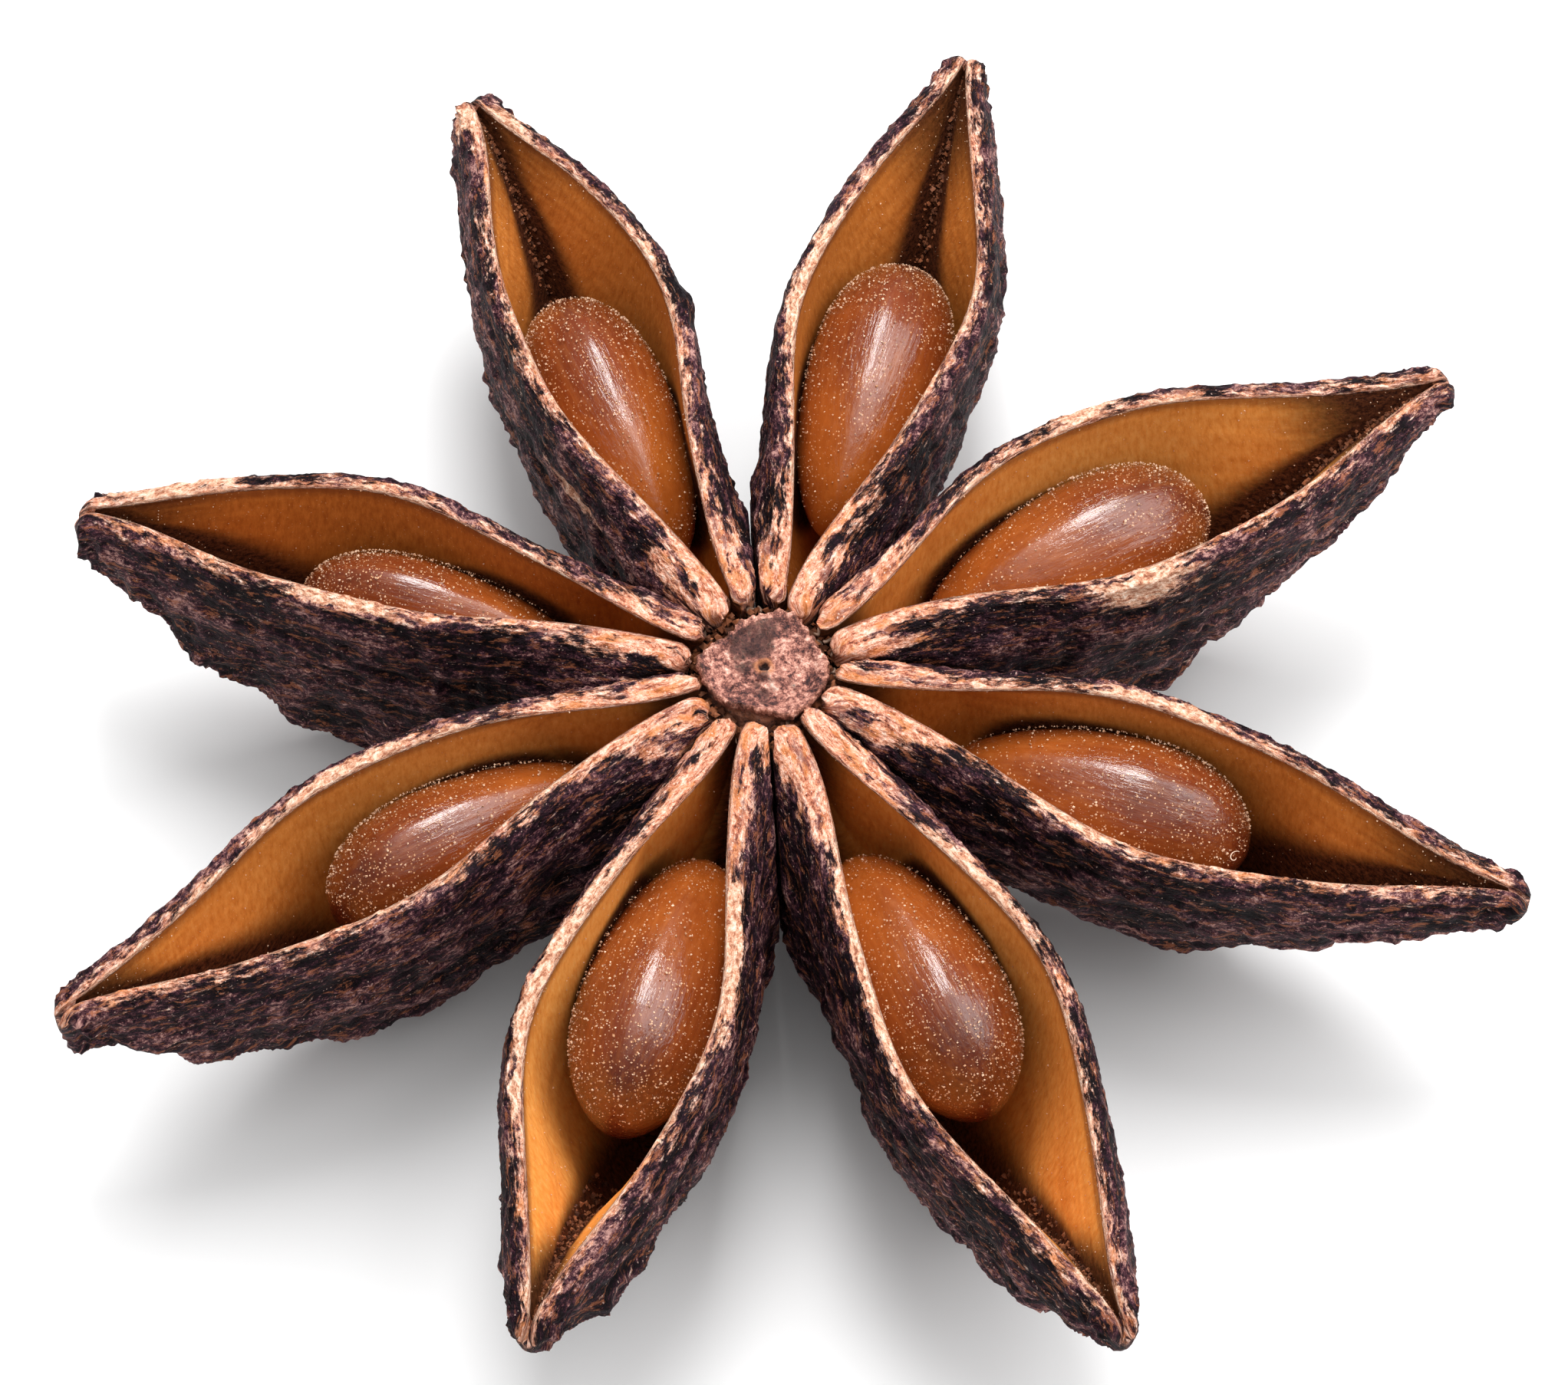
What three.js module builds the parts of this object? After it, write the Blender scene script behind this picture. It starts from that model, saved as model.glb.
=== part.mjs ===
// Dried star anise pod: eight split-open, boat-shaped carpels stand round a
// short woody column, and one polished seed lies in each carpel.
//
// Millimetres, +Z up. The origin is the centre of the flat stem scar under the
// column, in the plane that the pod rests on. Every carpel is drawn in its own
// frame first: "out" runs from the column axis to the tip, "left" lies to its
// left seen from above, and "z" is height above the resting plane.

import * as THREE from 'three';

// ---------------------------------------------------------------- whole pod
const LIP_HEIGHT = 7.0; // lips beside the column, above the resting plane
const LIP_CROWN = 0.15; // rise of the lips half way out
const TIP_DROOP = 1.0; // fall of the lips at the tip
const CARPEL_START = 1.62; // radius at which the carpels begin
const NEIGHBOUR_GAP = 0.14; // crack left between two carpels that press together

// -------------------------------------------------------------- carpel walls
const WALL_AT_COLUMN = 0.6; // lip thickness beside the column
const WALL = 0.4; // lip thickness further out
const WALL_TAPER_END = 0.4; // fraction of the length where the wall gets thin
const KEEL_WALL = 0.65; // wall left under the cavity
const LIP_ROUND = 0.07; // height of the crest above the two edges of a lip
const SLIT_HALF = 0.045; // half width of the slit where the lips close
const LIP_AT_COLUMN = 0.33; // middle of a lip from the slit, at the column
const LIP_AT_TIP = 0.2; // the same at the tip
const TIP_START = 0.97; // fraction of the length where the rounded end begins
const TIP_SHARE = 0.6; // size of the very end against the section before it
const OPENING_POWER = 1.7; // how slowly the slit opens away from the column
const CLOSING_POWER = 1.55; // how quickly it closes again toward the tip
const FLANK_BULGE = 1.3; // how far a flank would swell past its lip at the column
const FLANK_BULGE_OUT = 0.35; // the same past the middle
const FLANK_BULGE_END = 0.2; // length fraction in which it fades out at the tip
const FLANK_BULGE_DEPTH = 0.32; // where it swells most, as a fraction of depth
const KEEL_HALF = 0.95; // half breadth of the rounded keel
const CAVITY_KEEL = 0.62; // breadth of the cavity floor, as a fraction of the slit's
const DEPTH_AT_COLUMN = 5.2;
const BELLY_POWER = 1.5; // how quickly the keel rises again toward the tip
const CAVITY_END_RISE = 0.14; // length fraction in which the cavity floor rises
const CAVITY_END_DEPTH = 0.5; // depth of the slit at both ends
const RIPPLE = 0.05; // height of the waves along a lip
const RIPPLE_TURN = 17; // how close the waves follow each other

// Heading in degrees counter-clockwise from +X. Reach from the axis to the tip,
// gape from the slit's middle to the middle of a lip, and peak as a fraction of
// the length. Sway and hook bend the slit's middle line sideways and lean moves
// the keel sideways. Depth is the belly's, at the belly's fraction of the length,
// and beak is the depth of the tip.
const CARPELS = [
  {
    heading: 113.5, reach: 16.8, gape: 1.83, peak: 0.56,
    sway: -0.03, hook: 0.2, lean: 0.5, depth: 7.15, belly: 0.4, beak: 1.5,
  },
  {
    heading: 74.5, reach: 17.2, gape: 1.93, peak: 0.52,
    sway: -0.1, hook: 0.0, lean: -0.6, depth: 6.7, belly: 0.42, beak: 1.6,
  },
  {
    heading: 27.5, reach: 17.0, gape: 2.12, peak: 0.47,
    sway: 0.22, hook: 0.18, lean: -0.5, depth: 7.15, belly: 0.36, beak: 0.9,
  },
  {
    heading: -17.5, reach: 16.9, gape: 1.84, peak: 0.48,
    sway: -0.24, hook: 0.12, lean: 0.2, depth: 6.3, belly: 0.44, beak: 1.0,
  },
  {
    heading: -64, reach: 16.9, gape: 1.98, peak: 0.51,
    sway: 0.22, hook: 0.1, lean: -0.3, depth: 7.15, belly: 0.42, beak: 1.2,
  },
  {
    heading: -107.5, reach: 16.0, gape: 1.98, peak: 0.52,
    sway: -0.2, hook: 0.0, lean: 0.3, depth: 7.15, belly: 0.4, beak: 1.2,
  },
  {
    heading: -152, reach: 16.7, gape: 1.76, peak: 0.5,
    sway: -0.15, hook: -0.22, lean: 0.4, depth: 6.5, belly: 0.48, beak: 1.4,
  },
  {
    heading: 163.5, reach: 15.6, gape: 1.52, peak: 0.55,
    sway: -0.4, hook: 0.05, lean: 0.7, depth: 7.15, belly: 0.4, beak: 1.6,
  },
];

// --------------------------------------------------------------------- seeds
// Distance of the middle from the axis, its shift to the left of the slit's
// middle and its depth under the lips, then length, breadth and height.
const SEEDS = [
  { out: 8.0, left: 0.08, sunk: 2.5, length: 6.8, breadth: 2.85, height: 3.9 },
  { out: 8.4, left: 0.0, sunk: 2.5, length: 6.8, breadth: 3.0, height: 3.9 },
  { out: 7.6, left: 0.0, sunk: 2.6, length: 6.9, breadth: 3.1, height: 4.0 },
  { out: 7.4, left: 0.12, sunk: 2.4, length: 6.9, breadth: 3.0, height: 3.9 },
  { out: 7.2, left: -0.15, sunk: 2.5, length: 6.8, breadth: 3.05, height: 4.0 },
  { out: 7.0, left: 0.12, sunk: 2.5, length: 6.8, breadth: 3.05, height: 4.0 },
  { out: 6.95, left: 0.16, sunk: 2.5, length: 6.8, breadth: 2.7, height: 3.9 },
  { out: 7.2, left: 0.22, sunk: 2.6, length: 6.7, breadth: 2.35, height: 3.9 },
];
const SEED_DIP = 6; // degrees by which the inner end dips
const SEED_BLUNTNESS = 0.16; // how much fatter the outer end is than the inner
const SEED_WEDGE = 0.2; // how much narrower the lower edge is than the upper

// ---------------------------------------------------------------- the column
const COLUMN_TOP = 7.0; // height of the disc's edge
const COLUMN_FLAT = CARPEL_START - 0.12; // axis to the sides, just clear of the carpels
const DISC_RADIUS = 1.42;
const DISC_THICKNESS = 0.3;
const DISC_UNEVEN = 0.07; // how far the disc is out of round
const NECK_RADIUS = 1.2; // under the disc
const NECK_HEIGHT = 0.5;
const SCAR_RADIUS = 1.0; // the flat spot under the column
const PIT_DEPTH = 0.2; // dimple in the middle of the disc

// From the scar up, the distance from the axis at each height.
const COLUMN_PROFILE = [
  { flat: SCAR_RADIUS, z: 0, round: true },
  { flat: SCAR_RADIUS + 0.15, z: 0.25, round: true },
  { flat: 1.3, z: 1.3, round: false },
  { flat: COLUMN_FLAT, z: 2.2, round: false },
  { flat: COLUMN_FLAT, z: COLUMN_TOP - DISC_THICKNESS - NECK_HEIGHT, round: false },
  { flat: NECK_RADIUS, z: COLUMN_TOP - DISC_THICKNESS - NECK_HEIGHT / 2, round: true },
  { flat: NECK_RADIUS, z: COLUMN_TOP - DISC_THICKNESS, round: true },
  { flat: DISC_RADIUS, z: COLUMN_TOP - DISC_THICKNESS / 2, round: true },
  { flat: DISC_RADIUS - 0.1, z: COLUMN_TOP, round: true },
  { flat: 0.7, z: COLUMN_TOP - 0.12, round: true },
  { flat: 0.25, z: COLUMN_TOP - 0.07, round: true },
];

// ------------------------------------------------------------- mesh fineness
const STATIONS = 20; // sections along a carpel
const FLANK_STEPS = 4; // facets from lip to keel, on each face of each side
const SEED_RINGS = 9;
const SEED_SIDES = 14;
const COLUMN_SIDES = 28;

const BARK = { color: 0x3b2226, roughness: 0.85, metalness: 0 };
const SEED_COAT = { color: 0x9c4a1c, roughness: 0.25, metalness: 0 };
const PITH = { color: 0x6b4338, roughness: 0.9, metalness: 0 };

const DEGREE = Math.PI / 180;

const mix = (a, b, share) => a + (b - a) * share;
const quarterWave = (share) => Math.sin((Math.PI / 2) * THREE.MathUtils.clamp(share, 0, 1));

// Height of the lips at a fraction of the carpel's length.
function lipHeight(t) {
  return LIP_HEIGHT + LIP_CROWN * Math.sin(Math.PI * t) - TIP_DROOP * t * t;
}

// Sideways place of the slit's middle line.
function slitMiddle(carpel, t) {
  return carpel.sway * Math.sin(Math.PI * t) + carpel.hook * Math.sin(2 * Math.PI * t);
}

// Middle of a lip, measured from the slit's middle line.
function lipOffset(carpel, t, side) {
  const opening = quarterWave(t / carpel.peak) ** OPENING_POWER;
  const closing = quarterWave((1 - t) / (1 - carpel.peak)) ** CLOSING_POWER;
  const offset = t < carpel.peak
    ? mix(LIP_AT_COLUMN, carpel.gape, opening)
    : mix(LIP_AT_TIP, carpel.gape, closing);
  const wave = Math.sin(RIPPLE_TURN * t + carpel.heading + side);
  return offset + RIPPLE * Math.sin(Math.PI * t) * wave;
}

function wallThickness(t) {
  return mix(WALL_AT_COLUMN, WALL, quarterWave(t / WALL_TAPER_END));
}

// Shrinks the sections of the last stretch, so that the tip is rounded off.
function endShare(t) {
  const past = THREE.MathUtils.clamp((t - TIP_START) / (1 - TIP_START), 0, 1);
  return mix(1, TIP_SHARE, past * past);
}

// How far the flank swells past the lip, by its fraction of the length.
function flankSwell(t) {
  const full = mix(FLANK_BULGE, FLANK_BULGE_OUT, quarterWave(2 * t));
  return full * quarterWave((1 - t) / FLANK_BULGE_END);
}

// Height of a section's lip edges: the very end sinks toward the beak's middle.
function sectionTop(carpel, t) {
  return lipHeight(t) - (1 - endShare(t)) * 0.5 * carpel.beak;
}

// Depth of the keel under the lips.
function carpelDepth(carpel, t) {
  const inner = quarterWave(t / carpel.belly);
  const outer = quarterWave((1 - t) / (1 - carpel.belly)) ** BELLY_POWER;
  return t < carpel.belly
    ? mix(DEPTH_AT_COLUMN, carpel.depth, inner)
    : mix(carpel.beak, carpel.depth, outer);
}

// Depth of the cavity: shallow where the lips meet, at both ends.
function cavityDepth(carpel, t) {
  const full = carpelDepth(carpel, t) - KEEL_WALL;
  const inner = quarterWave(t / CAVITY_END_RISE);
  const outer = quarterWave((1 - t) / CAVITY_END_RISE);
  return mix(CAVITY_END_DEPTH, full, Math.min(inner, outer));
}

// Cubic curve from the lip's edge, past the swelling flank, to the keel.
function flankPoint(edge, swell, keelHalf, depth, share) {
  const rest = 1 - share;
  const near = rest * rest * rest;
  const upper = 3 * rest * rest * share;
  const lower = 3 * rest * share * share;
  const far = share * share * share;
  return {
    across: near * edge + upper * (edge + swell) + lower * keelHalf,
    down: upper * FLANK_BULGE_DEPTH * depth + lower * depth + far * depth,
  };
}

// The halfway lines to both neighbours keep carpels out of each other.
function halfSpacing(index, side) {
  const count = CARPELS.length;
  const neighbour = CARPELS[(index - side + count) % count];
  const turn = side * (neighbour.heading - CARPELS[index].heading);
  return (((turn % 360) + 360) % 360) / 2 * DEGREE;
}

// Sections are evenly spaced up to the rounded end, which takes the last two.
function stationAt(i) {
  const even = (TIP_START * i) / (STATIONS - 3);
  const past = i - (STATIONS - 3);
  return past > 0 ? TIP_START + (past * (1 - TIP_START)) / 2 : even;
}

// A point of the outer face, or of the cavity, share of the way from lip to keel.
function carpelPoint(index, t, side, isCavity, share) {
  const carpel = CARPELS[index];
  const end = endShare(t);
  const thickness = wallThickness(t) * end;
  const lip = lipOffset(carpel, t, side) * end;
  const edge = isCavity ? Math.max(lip - thickness / 2, SLIT_HALF) : lip + thickness / 2;
  const keelHalf = isCavity ? edge * CAVITY_KEEL : Math.min(KEEL_HALF, edge);
  const depth = (isCavity ? cavityDepth(carpel, t) : carpelDepth(carpel, t)) * end;
  const point = flankPoint(edge, 2 * flankSwell(t), keelHalf, depth, share);

  const out = mix(CARPEL_START, carpel.reach, t);
  const lean = carpel.lean * Math.sin(Math.PI * t) * share ** 1.5;
  const free = slitMiddle(carpel, t) * (1 - share) + lean + side * point.across;
  const limit = out * Math.tan(halfSpacing(index, side)) - NEIGHBOUR_GAP / 2;
  const left = side * Math.min(side * free, isCavity ? limit - thickness : limit);
  const lowest = isCavity ? KEEL_WALL : 0;
  return [out, left, Math.max(sectionTop(carpel, t) - point.down, lowest)];
}

// The rounded crest of a lip.
function crestPoint(index, t, side) {
  const carpel = CARPELS[index];
  const left = slitMiddle(carpel, t) + side * lipOffset(carpel, t, side) * endShare(t);
  return [mix(CARPEL_START, carpel.reach, t), left, sectionTop(carpel, t) + LIP_ROUND];
}

// One closed section: down the left flank, up the right one, over the right
// lip, down into the cavity, up again and over the left lip.
function carpelSection(index, t) {
  const steps = 2 * FLANK_STEPS;
  const face = (isCavity, i) => {
    const side = i <= FLANK_STEPS ? 1 : -1;
    return carpelPoint(index, t, side, isCavity, 1 - Math.abs(i / FLANK_STEPS - 1));
  };
  const loop = [];
  for (let i = 0; i <= steps; i += 1) loop.push(face(false, i));
  loop.push(crestPoint(index, t, -1));
  for (let i = steps; i >= 0; i -= 1) loop.push(face(true, i));
  loop.push(crestPoint(index, t, 1));
  return loop;
}

// Joins equal closed loops, stacked row on row, into a skin of triangles.
function skin(rows, size) {
  const faces = [];
  for (let row = 0; row + 1 < rows; row += 1) {
    for (let i = 0; i < size; i += 1) {
      const here = row * size;
      const next = (i + 1) % size;
      faces.push([here + i, here + next, here + size + next]);
      faces.push([here + i, here + size + next, here + size + i]);
    }
  }
  return faces;
}

// Closes a U-shaped end with a strip from its outer line to its inner line.
function hollowEnd(start, size) {
  const crest = size / 2 - 1;
  const faces = [
    [start, start + size - 2, start + size - 1],
    [start + crest - 1, start + crest, start + crest + 1],
  ];
  for (let i = 0; i + 1 < crest; i += 1) {
    const outer = start + i;
    const inner = start + size - 2 - i;
    faces.push([outer, outer + 1, inner - 1], [outer, inner - 1, inner]);
  }
  return faces;
}

// Closes a convex end with a fan round one point.
function fan(start, size, tip) {
  const faces = [];
  for (let i = 0; i < size; i += 1) faces.push([tip, start + i, start + ((i + 1) % size)]);
  return faces;
}

const reversed = (faces) => faces.map(([a, b, c]) => [a, c, b]);

function meshOf(name, points, faces, look) {
  const geometry = new THREE.BufferGeometry();
  geometry.setAttribute('position', new THREE.Float32BufferAttribute(points.flat(), 3));
  geometry.setIndex(faces.flat());
  geometry.computeVertexNormals();
  const mesh = new THREE.Mesh(geometry, new THREE.MeshStandardMaterial(look));
  mesh.name = name;
  return mesh;
}

function carpelMesh(index) {
  const points = [];
  for (let i = 0; i < STATIONS; i += 1) points.push(...carpelSection(index, stationAt(i)));
  const size = points.length / STATIONS;
  const faces = [
    ...skin(STATIONS, size),
    ...reversed(hollowEnd(0, size)),
    ...hollowEnd(points.length - size, size),
  ];
  const mesh = meshOf(`carpel_${index + 1}`, points, reversed(faces), BARK);
  mesh.rotation.z = CARPELS[index].heading * DEGREE;
  return mesh;
}

// Egg-shaped, with its fat end outward.
function seedMesh(index) {
  const seed = SEEDS[index];
  const points = [];
  for (let ring = 1; ring <= SEED_RINGS; ring += 1) {
    const along = -Math.cos((Math.PI * ring) / (SEED_RINGS + 1));
    const girth = Math.sqrt(1 - along * along) * (1 + SEED_BLUNTNESS * along);
    for (let i = 0; i < SEED_SIDES; i += 1) {
      const angle = (2 * Math.PI * i) / SEED_SIDES;
      const wedge = 1 + SEED_WEDGE * Math.sin(angle);
      points.push([
        (along * seed.length) / 2,
        (girth * wedge * Math.cos(angle) * seed.breadth) / 2,
        (girth * Math.sin(angle) * seed.height) / 2,
      ]);
    }
  }
  const last = points.length - SEED_SIDES;
  points.push([-seed.length / 2, 0, 0], [seed.length / 2, 0, 0]);
  const faces = [
    ...skin(SEED_RINGS, SEED_SIDES),
    ...reversed(fan(0, SEED_SIDES, points.length - 2)),
    ...fan(last, SEED_SIDES, points.length - 1),
  ];
  const mesh = meshOf(`seed_${index + 1}`, points, faces, SEED_COAT);
  const carpel = CARPELS[index];
  const t = (seed.out - CARPEL_START) / (carpel.reach - CARPEL_START);
  mesh.position.set(seed.out, slitMiddle(carpel, t) + seed.left, lipHeight(t) - seed.sunk);
  mesh.rotation.y = -SEED_DIP * DEGREE;
  const turned = new THREE.Group();
  turned.rotation.z = carpel.heading * DEGREE;
  turned.add(mesh);
  return turned;
}

// Distance from the axis to a column whose flat sides face the carpels.
function columnRadius(angle, flat) {
  const reaches = CARPELS.map(({ heading }) => flat / Math.cos(angle - heading * DEGREE));
  return Math.min(...reaches.filter((reach) => reach > 0));
}

// The woody column: a flat scar below, eight sides that fit the carpels' inner
// ends, a narrow neck and a rough disc on top.
function columnMesh() {
  const points = [];
  for (const { flat, z, round } of COLUMN_PROFILE) {
    for (let i = 0; i < COLUMN_SIDES; i += 1) {
      const angle = (2 * Math.PI * i) / COLUMN_SIDES;
      const uneven = 1 + DISC_UNEVEN * Math.sin(2 * angle + 0.6) * Math.cos(3 * angle);
      const r = round ? flat * uneven : columnRadius(angle, flat);
      points.push([r * Math.cos(angle), r * Math.sin(angle), z]);
    }
  }
  const rows = COLUMN_PROFILE.length;
  points.push([0, 0, 0], [0, 0, COLUMN_TOP - PIT_DEPTH]);
  const faces = [
    ...skin(rows, COLUMN_SIDES),
    ...reversed(fan(0, COLUMN_SIDES, points.length - 2)),
    ...fan((rows - 1) * COLUMN_SIDES, COLUMN_SIDES, points.length - 1),
  ];
  return meshOf('core', points, faces, PITH);
}

const pod = new THREE.Group();
pod.add(columnMesh());
CARPELS.forEach((_, index) => {
  pod.add(carpelMesh(index));
  pod.add(seedMesh(index));
});

export default pod;
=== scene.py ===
"""Dried star anise pod: eight split carpels with polished seeds round a woody
column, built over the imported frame. Lengths are in millimetres until a mesh is
made, and angles in degrees unless a name says otherwise.
"""

import functools
import itertools
import math
import types

import bpy
import numpy as np
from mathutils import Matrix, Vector


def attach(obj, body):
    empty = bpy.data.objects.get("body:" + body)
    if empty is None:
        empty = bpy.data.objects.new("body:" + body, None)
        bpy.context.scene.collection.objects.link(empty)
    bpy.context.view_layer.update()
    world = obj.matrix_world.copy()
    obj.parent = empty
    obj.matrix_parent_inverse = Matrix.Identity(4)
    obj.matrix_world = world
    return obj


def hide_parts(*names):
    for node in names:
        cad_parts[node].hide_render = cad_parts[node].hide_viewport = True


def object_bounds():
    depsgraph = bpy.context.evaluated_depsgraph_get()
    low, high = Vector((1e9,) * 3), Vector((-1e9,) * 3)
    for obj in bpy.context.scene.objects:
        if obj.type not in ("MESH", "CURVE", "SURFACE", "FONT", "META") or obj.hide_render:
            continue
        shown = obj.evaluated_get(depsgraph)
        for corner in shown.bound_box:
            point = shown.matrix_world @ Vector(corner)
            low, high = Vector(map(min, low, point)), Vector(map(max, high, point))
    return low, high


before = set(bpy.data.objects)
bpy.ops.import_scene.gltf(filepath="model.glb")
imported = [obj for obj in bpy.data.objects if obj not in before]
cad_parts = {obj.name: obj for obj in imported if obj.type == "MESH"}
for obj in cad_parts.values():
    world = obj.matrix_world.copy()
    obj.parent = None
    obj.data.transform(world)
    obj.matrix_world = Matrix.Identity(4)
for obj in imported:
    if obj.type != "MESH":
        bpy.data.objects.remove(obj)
CAD_BOX = [list(corner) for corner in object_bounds()]

MM = 0.001

# --- frame's shape
# The same named values as in the frame, so that a piece lies where its node does.
LIP_HEIGHT = 7.0
LIP_CROWN = 0.15
TIP_DROOP = 1.0
CARPEL_START = 1.62
NEIGHBOUR_GAP = 0.14
WALL_AT_COLUMN = 0.6
WALL = 0.4
WALL_TAPER_END = 0.4
KEEL_WALL = 0.65
LIP_ROUND = 0.07
SLIT_HALF = 0.045
LIP_AT_COLUMN = 0.33
LIP_AT_TIP = 0.2
TIP_START = 0.97
TIP_SHARE = 0.6
OPENING_POWER = 1.7
CLOSING_POWER = 1.55
FLANK_BULGE = 1.3
FLANK_BULGE_OUT = 0.35
FLANK_BULGE_END = 0.2
FLANK_BULGE_DEPTH = 0.32
KEEL_HALF = 0.95
CAVITY_KEEL = 0.62
DEPTH_AT_COLUMN = 5.2
BELLY_POWER = 1.5
CAVITY_END_RISE = 0.14
CAVITY_END_DEPTH = 0.5
RIPPLE = 0.05
RIPPLE_TURN = 17


def named_rows(keys, *rows):
    return [dict(zip(keys.split(), row)) for row in rows]


CARPELS = named_rows(
    "heading reach gape peak sway hook lean depth belly beak",
    (113.5, 16.8, 1.83, 0.56, -0.03, 0.2, 0.5, 7.15, 0.4, 1.5),
    (74.5, 17.2, 1.93, 0.52, -0.1, 0.0, -0.6, 6.7, 0.42, 1.6),
    (27.5, 17.0, 2.12, 0.47, 0.22, 0.18, -0.5, 7.15, 0.36, 0.9),
    (-17.5, 16.9, 1.84, 0.48, -0.24, 0.12, 0.2, 6.3, 0.44, 1.0),
    (-64, 16.9, 1.98, 0.51, 0.22, 0.1, -0.3, 7.15, 0.42, 1.2),
    (-107.5, 16.0, 1.98, 0.52, -0.2, 0.0, 0.3, 7.15, 0.4, 1.2),
    (-152, 16.7, 1.76, 0.5, -0.15, -0.22, 0.4, 6.5, 0.48, 1.4),
    (163.5, 15.6, 1.52, 0.55, -0.4, 0.05, 0.7, 7.15, 0.4, 1.6),
)
SEEDS = named_rows(
    "out left sunk length breadth height",
    (8.0, 0.08, 2.5, 6.8, 2.85, 3.9),
    (8.4, 0.0, 2.5, 6.8, 3.0, 3.9),
    (7.6, 0.0, 2.6, 6.9, 3.1, 4.0),
    (7.4, 0.12, 2.4, 6.9, 3.0, 3.9),
    (7.2, -0.15, 2.5, 6.8, 3.05, 4.0),
    (7.0, 0.12, 2.5, 6.8, 3.05, 4.0),
    (6.95, 0.16, 2.5, 6.8, 2.7, 3.9),
    (7.2, 0.22, 2.6, 6.7, 2.35, 3.9),
)
SEED_DIP = math.radians(6)
SEED_BLUNTNESS = 0.16
SEED_WEDGE = 0.2
SEED_FULLNESS = 2.2  # 2 is an egg; more is flatter along the back
SEED_RIDGE = 0.2  # slope of the flat cheeks on both sides of the top ridge
SEED_RIDGE_ROUND = 0.045  # half breadth of the ridge, in radians round the seed
SEED_RIDGE_REACH = 0.8  # how far the cheeks reach, in radians
SEED_UNEVENNESS = 0.006

COLUMN_TOP = 7.0
COLUMN_FLAT = CARPEL_START - 0.12
SCAR_RADIUS = 1.0
COLUMN_ROUGHNESS = 0.055

# --- mesh fineness
STATIONS = 210  # sections along a carpel
FLANK_STEPS = 56  # points from lip to keel, on each face of each side
LIP_STEPS = 7  # points over a lip
SEED_RINGS, SEED_SIDES = 110, 160
COLUMN_SIDES = 220
BOX_MARGIN = 0.02

# --- looks of a carpel
# How yellow each lining is, from dark orange brown to golden ochre; partly painted light.
LINING_TONE_AND_LIGHT = [0.2, 0.2, 0.65, 0.3, 0.75, 1.0, 0.45, 0.0]
# How far each lip's end stands back from the column: left lip, right lip.
LIP_END_BACK = [
    (-0.12, 0.04), (0.0, -0.18), (-0.08, -0.08), (-0.08, -0.18),
    (-0.2, -0.1), (-0.2, -0.06), (-0.08, -0.18), (-0.02, -0.14),
]
# Share of the way down from the lip where painted shade darkens each cavity, past the seed.
GLOOM_FROM = [0.36, 0.34, 0.36, 0.22, 0.46, 0.46, 0.25, 0.2]
# How dark the painted shade makes each lining at its tip.
TIP_GLOOM = [0.6, 0.8, 1.0, 0.8, 0.25, 0.25, 0.4, 0.65]
LEFT, RIGHT = 1, -1
# Knobs on each carpel's bark: side, distance out, share of the way from lip to
# keel, radius and height.
KNOBS = [
    [(LEFT, 10.3, 0.4, 0.7, 0.28), (LEFT, 8.0, 0.75, 0.6, 0.3), (LEFT, 15.4, 0.3, 0.4, 0.16),
     (RIGHT, 9.3, 0.06, 0.28, 0.2)],
    [(RIGHT, 12.2, 0.62, 1.3, 0.34), (RIGHT, 9.8, 0.7, 0.9, 0.3)],
    [(RIGHT, 9.4, 0.75, 0.9, 0.3), (RIGHT, 12.2, 0.7, 0.6, 0.2)],
    [(RIGHT, 9.8, 0.8, 0.8, 0.3), (RIGHT, 12.4, 0.75, 0.6, 0.25), (RIGHT, 14.6, 0.6, 0.5, 0.2)],
    [(LEFT, 15.2, 0.5, 0.45, 0.32), (LEFT, 14.1, 0.7, 0.4, 0.25), (RIGHT, 12.8, 0.8, 0.5, 0.32),
     (RIGHT, 11.6, 0.7, 0.45, 0.26), (RIGHT, 14.2, 0.8, 0.5, 0.3)],
    [(LEFT, 12.8, 0.5, 0.4, 0.3), (LEFT, 14.3, 0.5, 0.35, 0.3), (LEFT, 13.6, 0.75, 0.45, 0.28)],
    [(LEFT, 13.8, 0.7, 0.6, 0.3), (LEFT, 12.2, 0.8, 0.6, 0.28), (LEFT, 10.2, 0.8, 0.6, 0.25),
     (LEFT, 15.0, 0.5, 0.4, 0.2)],
    [(LEFT, 12.4, 0.6, 0.6, 0.25), (LEFT, 10.2, 0.75, 0.7, 0.3), (LEFT, 14.0, 0.5, 0.5, 0.2)],
]
# Places on each carpel where the bark has come off and pale wood shows: side,
# distance out, distance over from the lip's inner edge, half length, half breadth.
PEELS = [
    [(LEFT, 5.9, 1.45, 0.75, 0.09), (RIGHT, 15.5, 0.1, 0.7, 0.22), (LEFT, 16.2, 0.35, 0.6, 0.35)],
    [(LEFT, 10.0, 0.14, 2.2, 0.14)],
    [(LEFT, 8.9, 0.3, 0.9, 0.26), (RIGHT, 8.1, 0.45, 1.0, 0.4)],
    [(LEFT, 8.4, 0.16, 1.4, 0.16), (RIGHT, 7.4, 0.14, 1.2, 0.12)],
    [(LEFT, 6.5, 0.15, 1.5, 0.16), (RIGHT, 7.5, 0.12, 2.5, 0.12)],
    [(LEFT, 6.8, 0.18, 1.6, 0.24), (RIGHT, 8.5, 0.15, 3.4, 0.2)],
    [(RIGHT, 9.0, 0.14, 1.6, 0.14)],
    [(RIGHT, 13.8, 0.25, 1.2, 0.28), (LEFT, 9.2, 0.2, 1.3, 0.2)],
]

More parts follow.
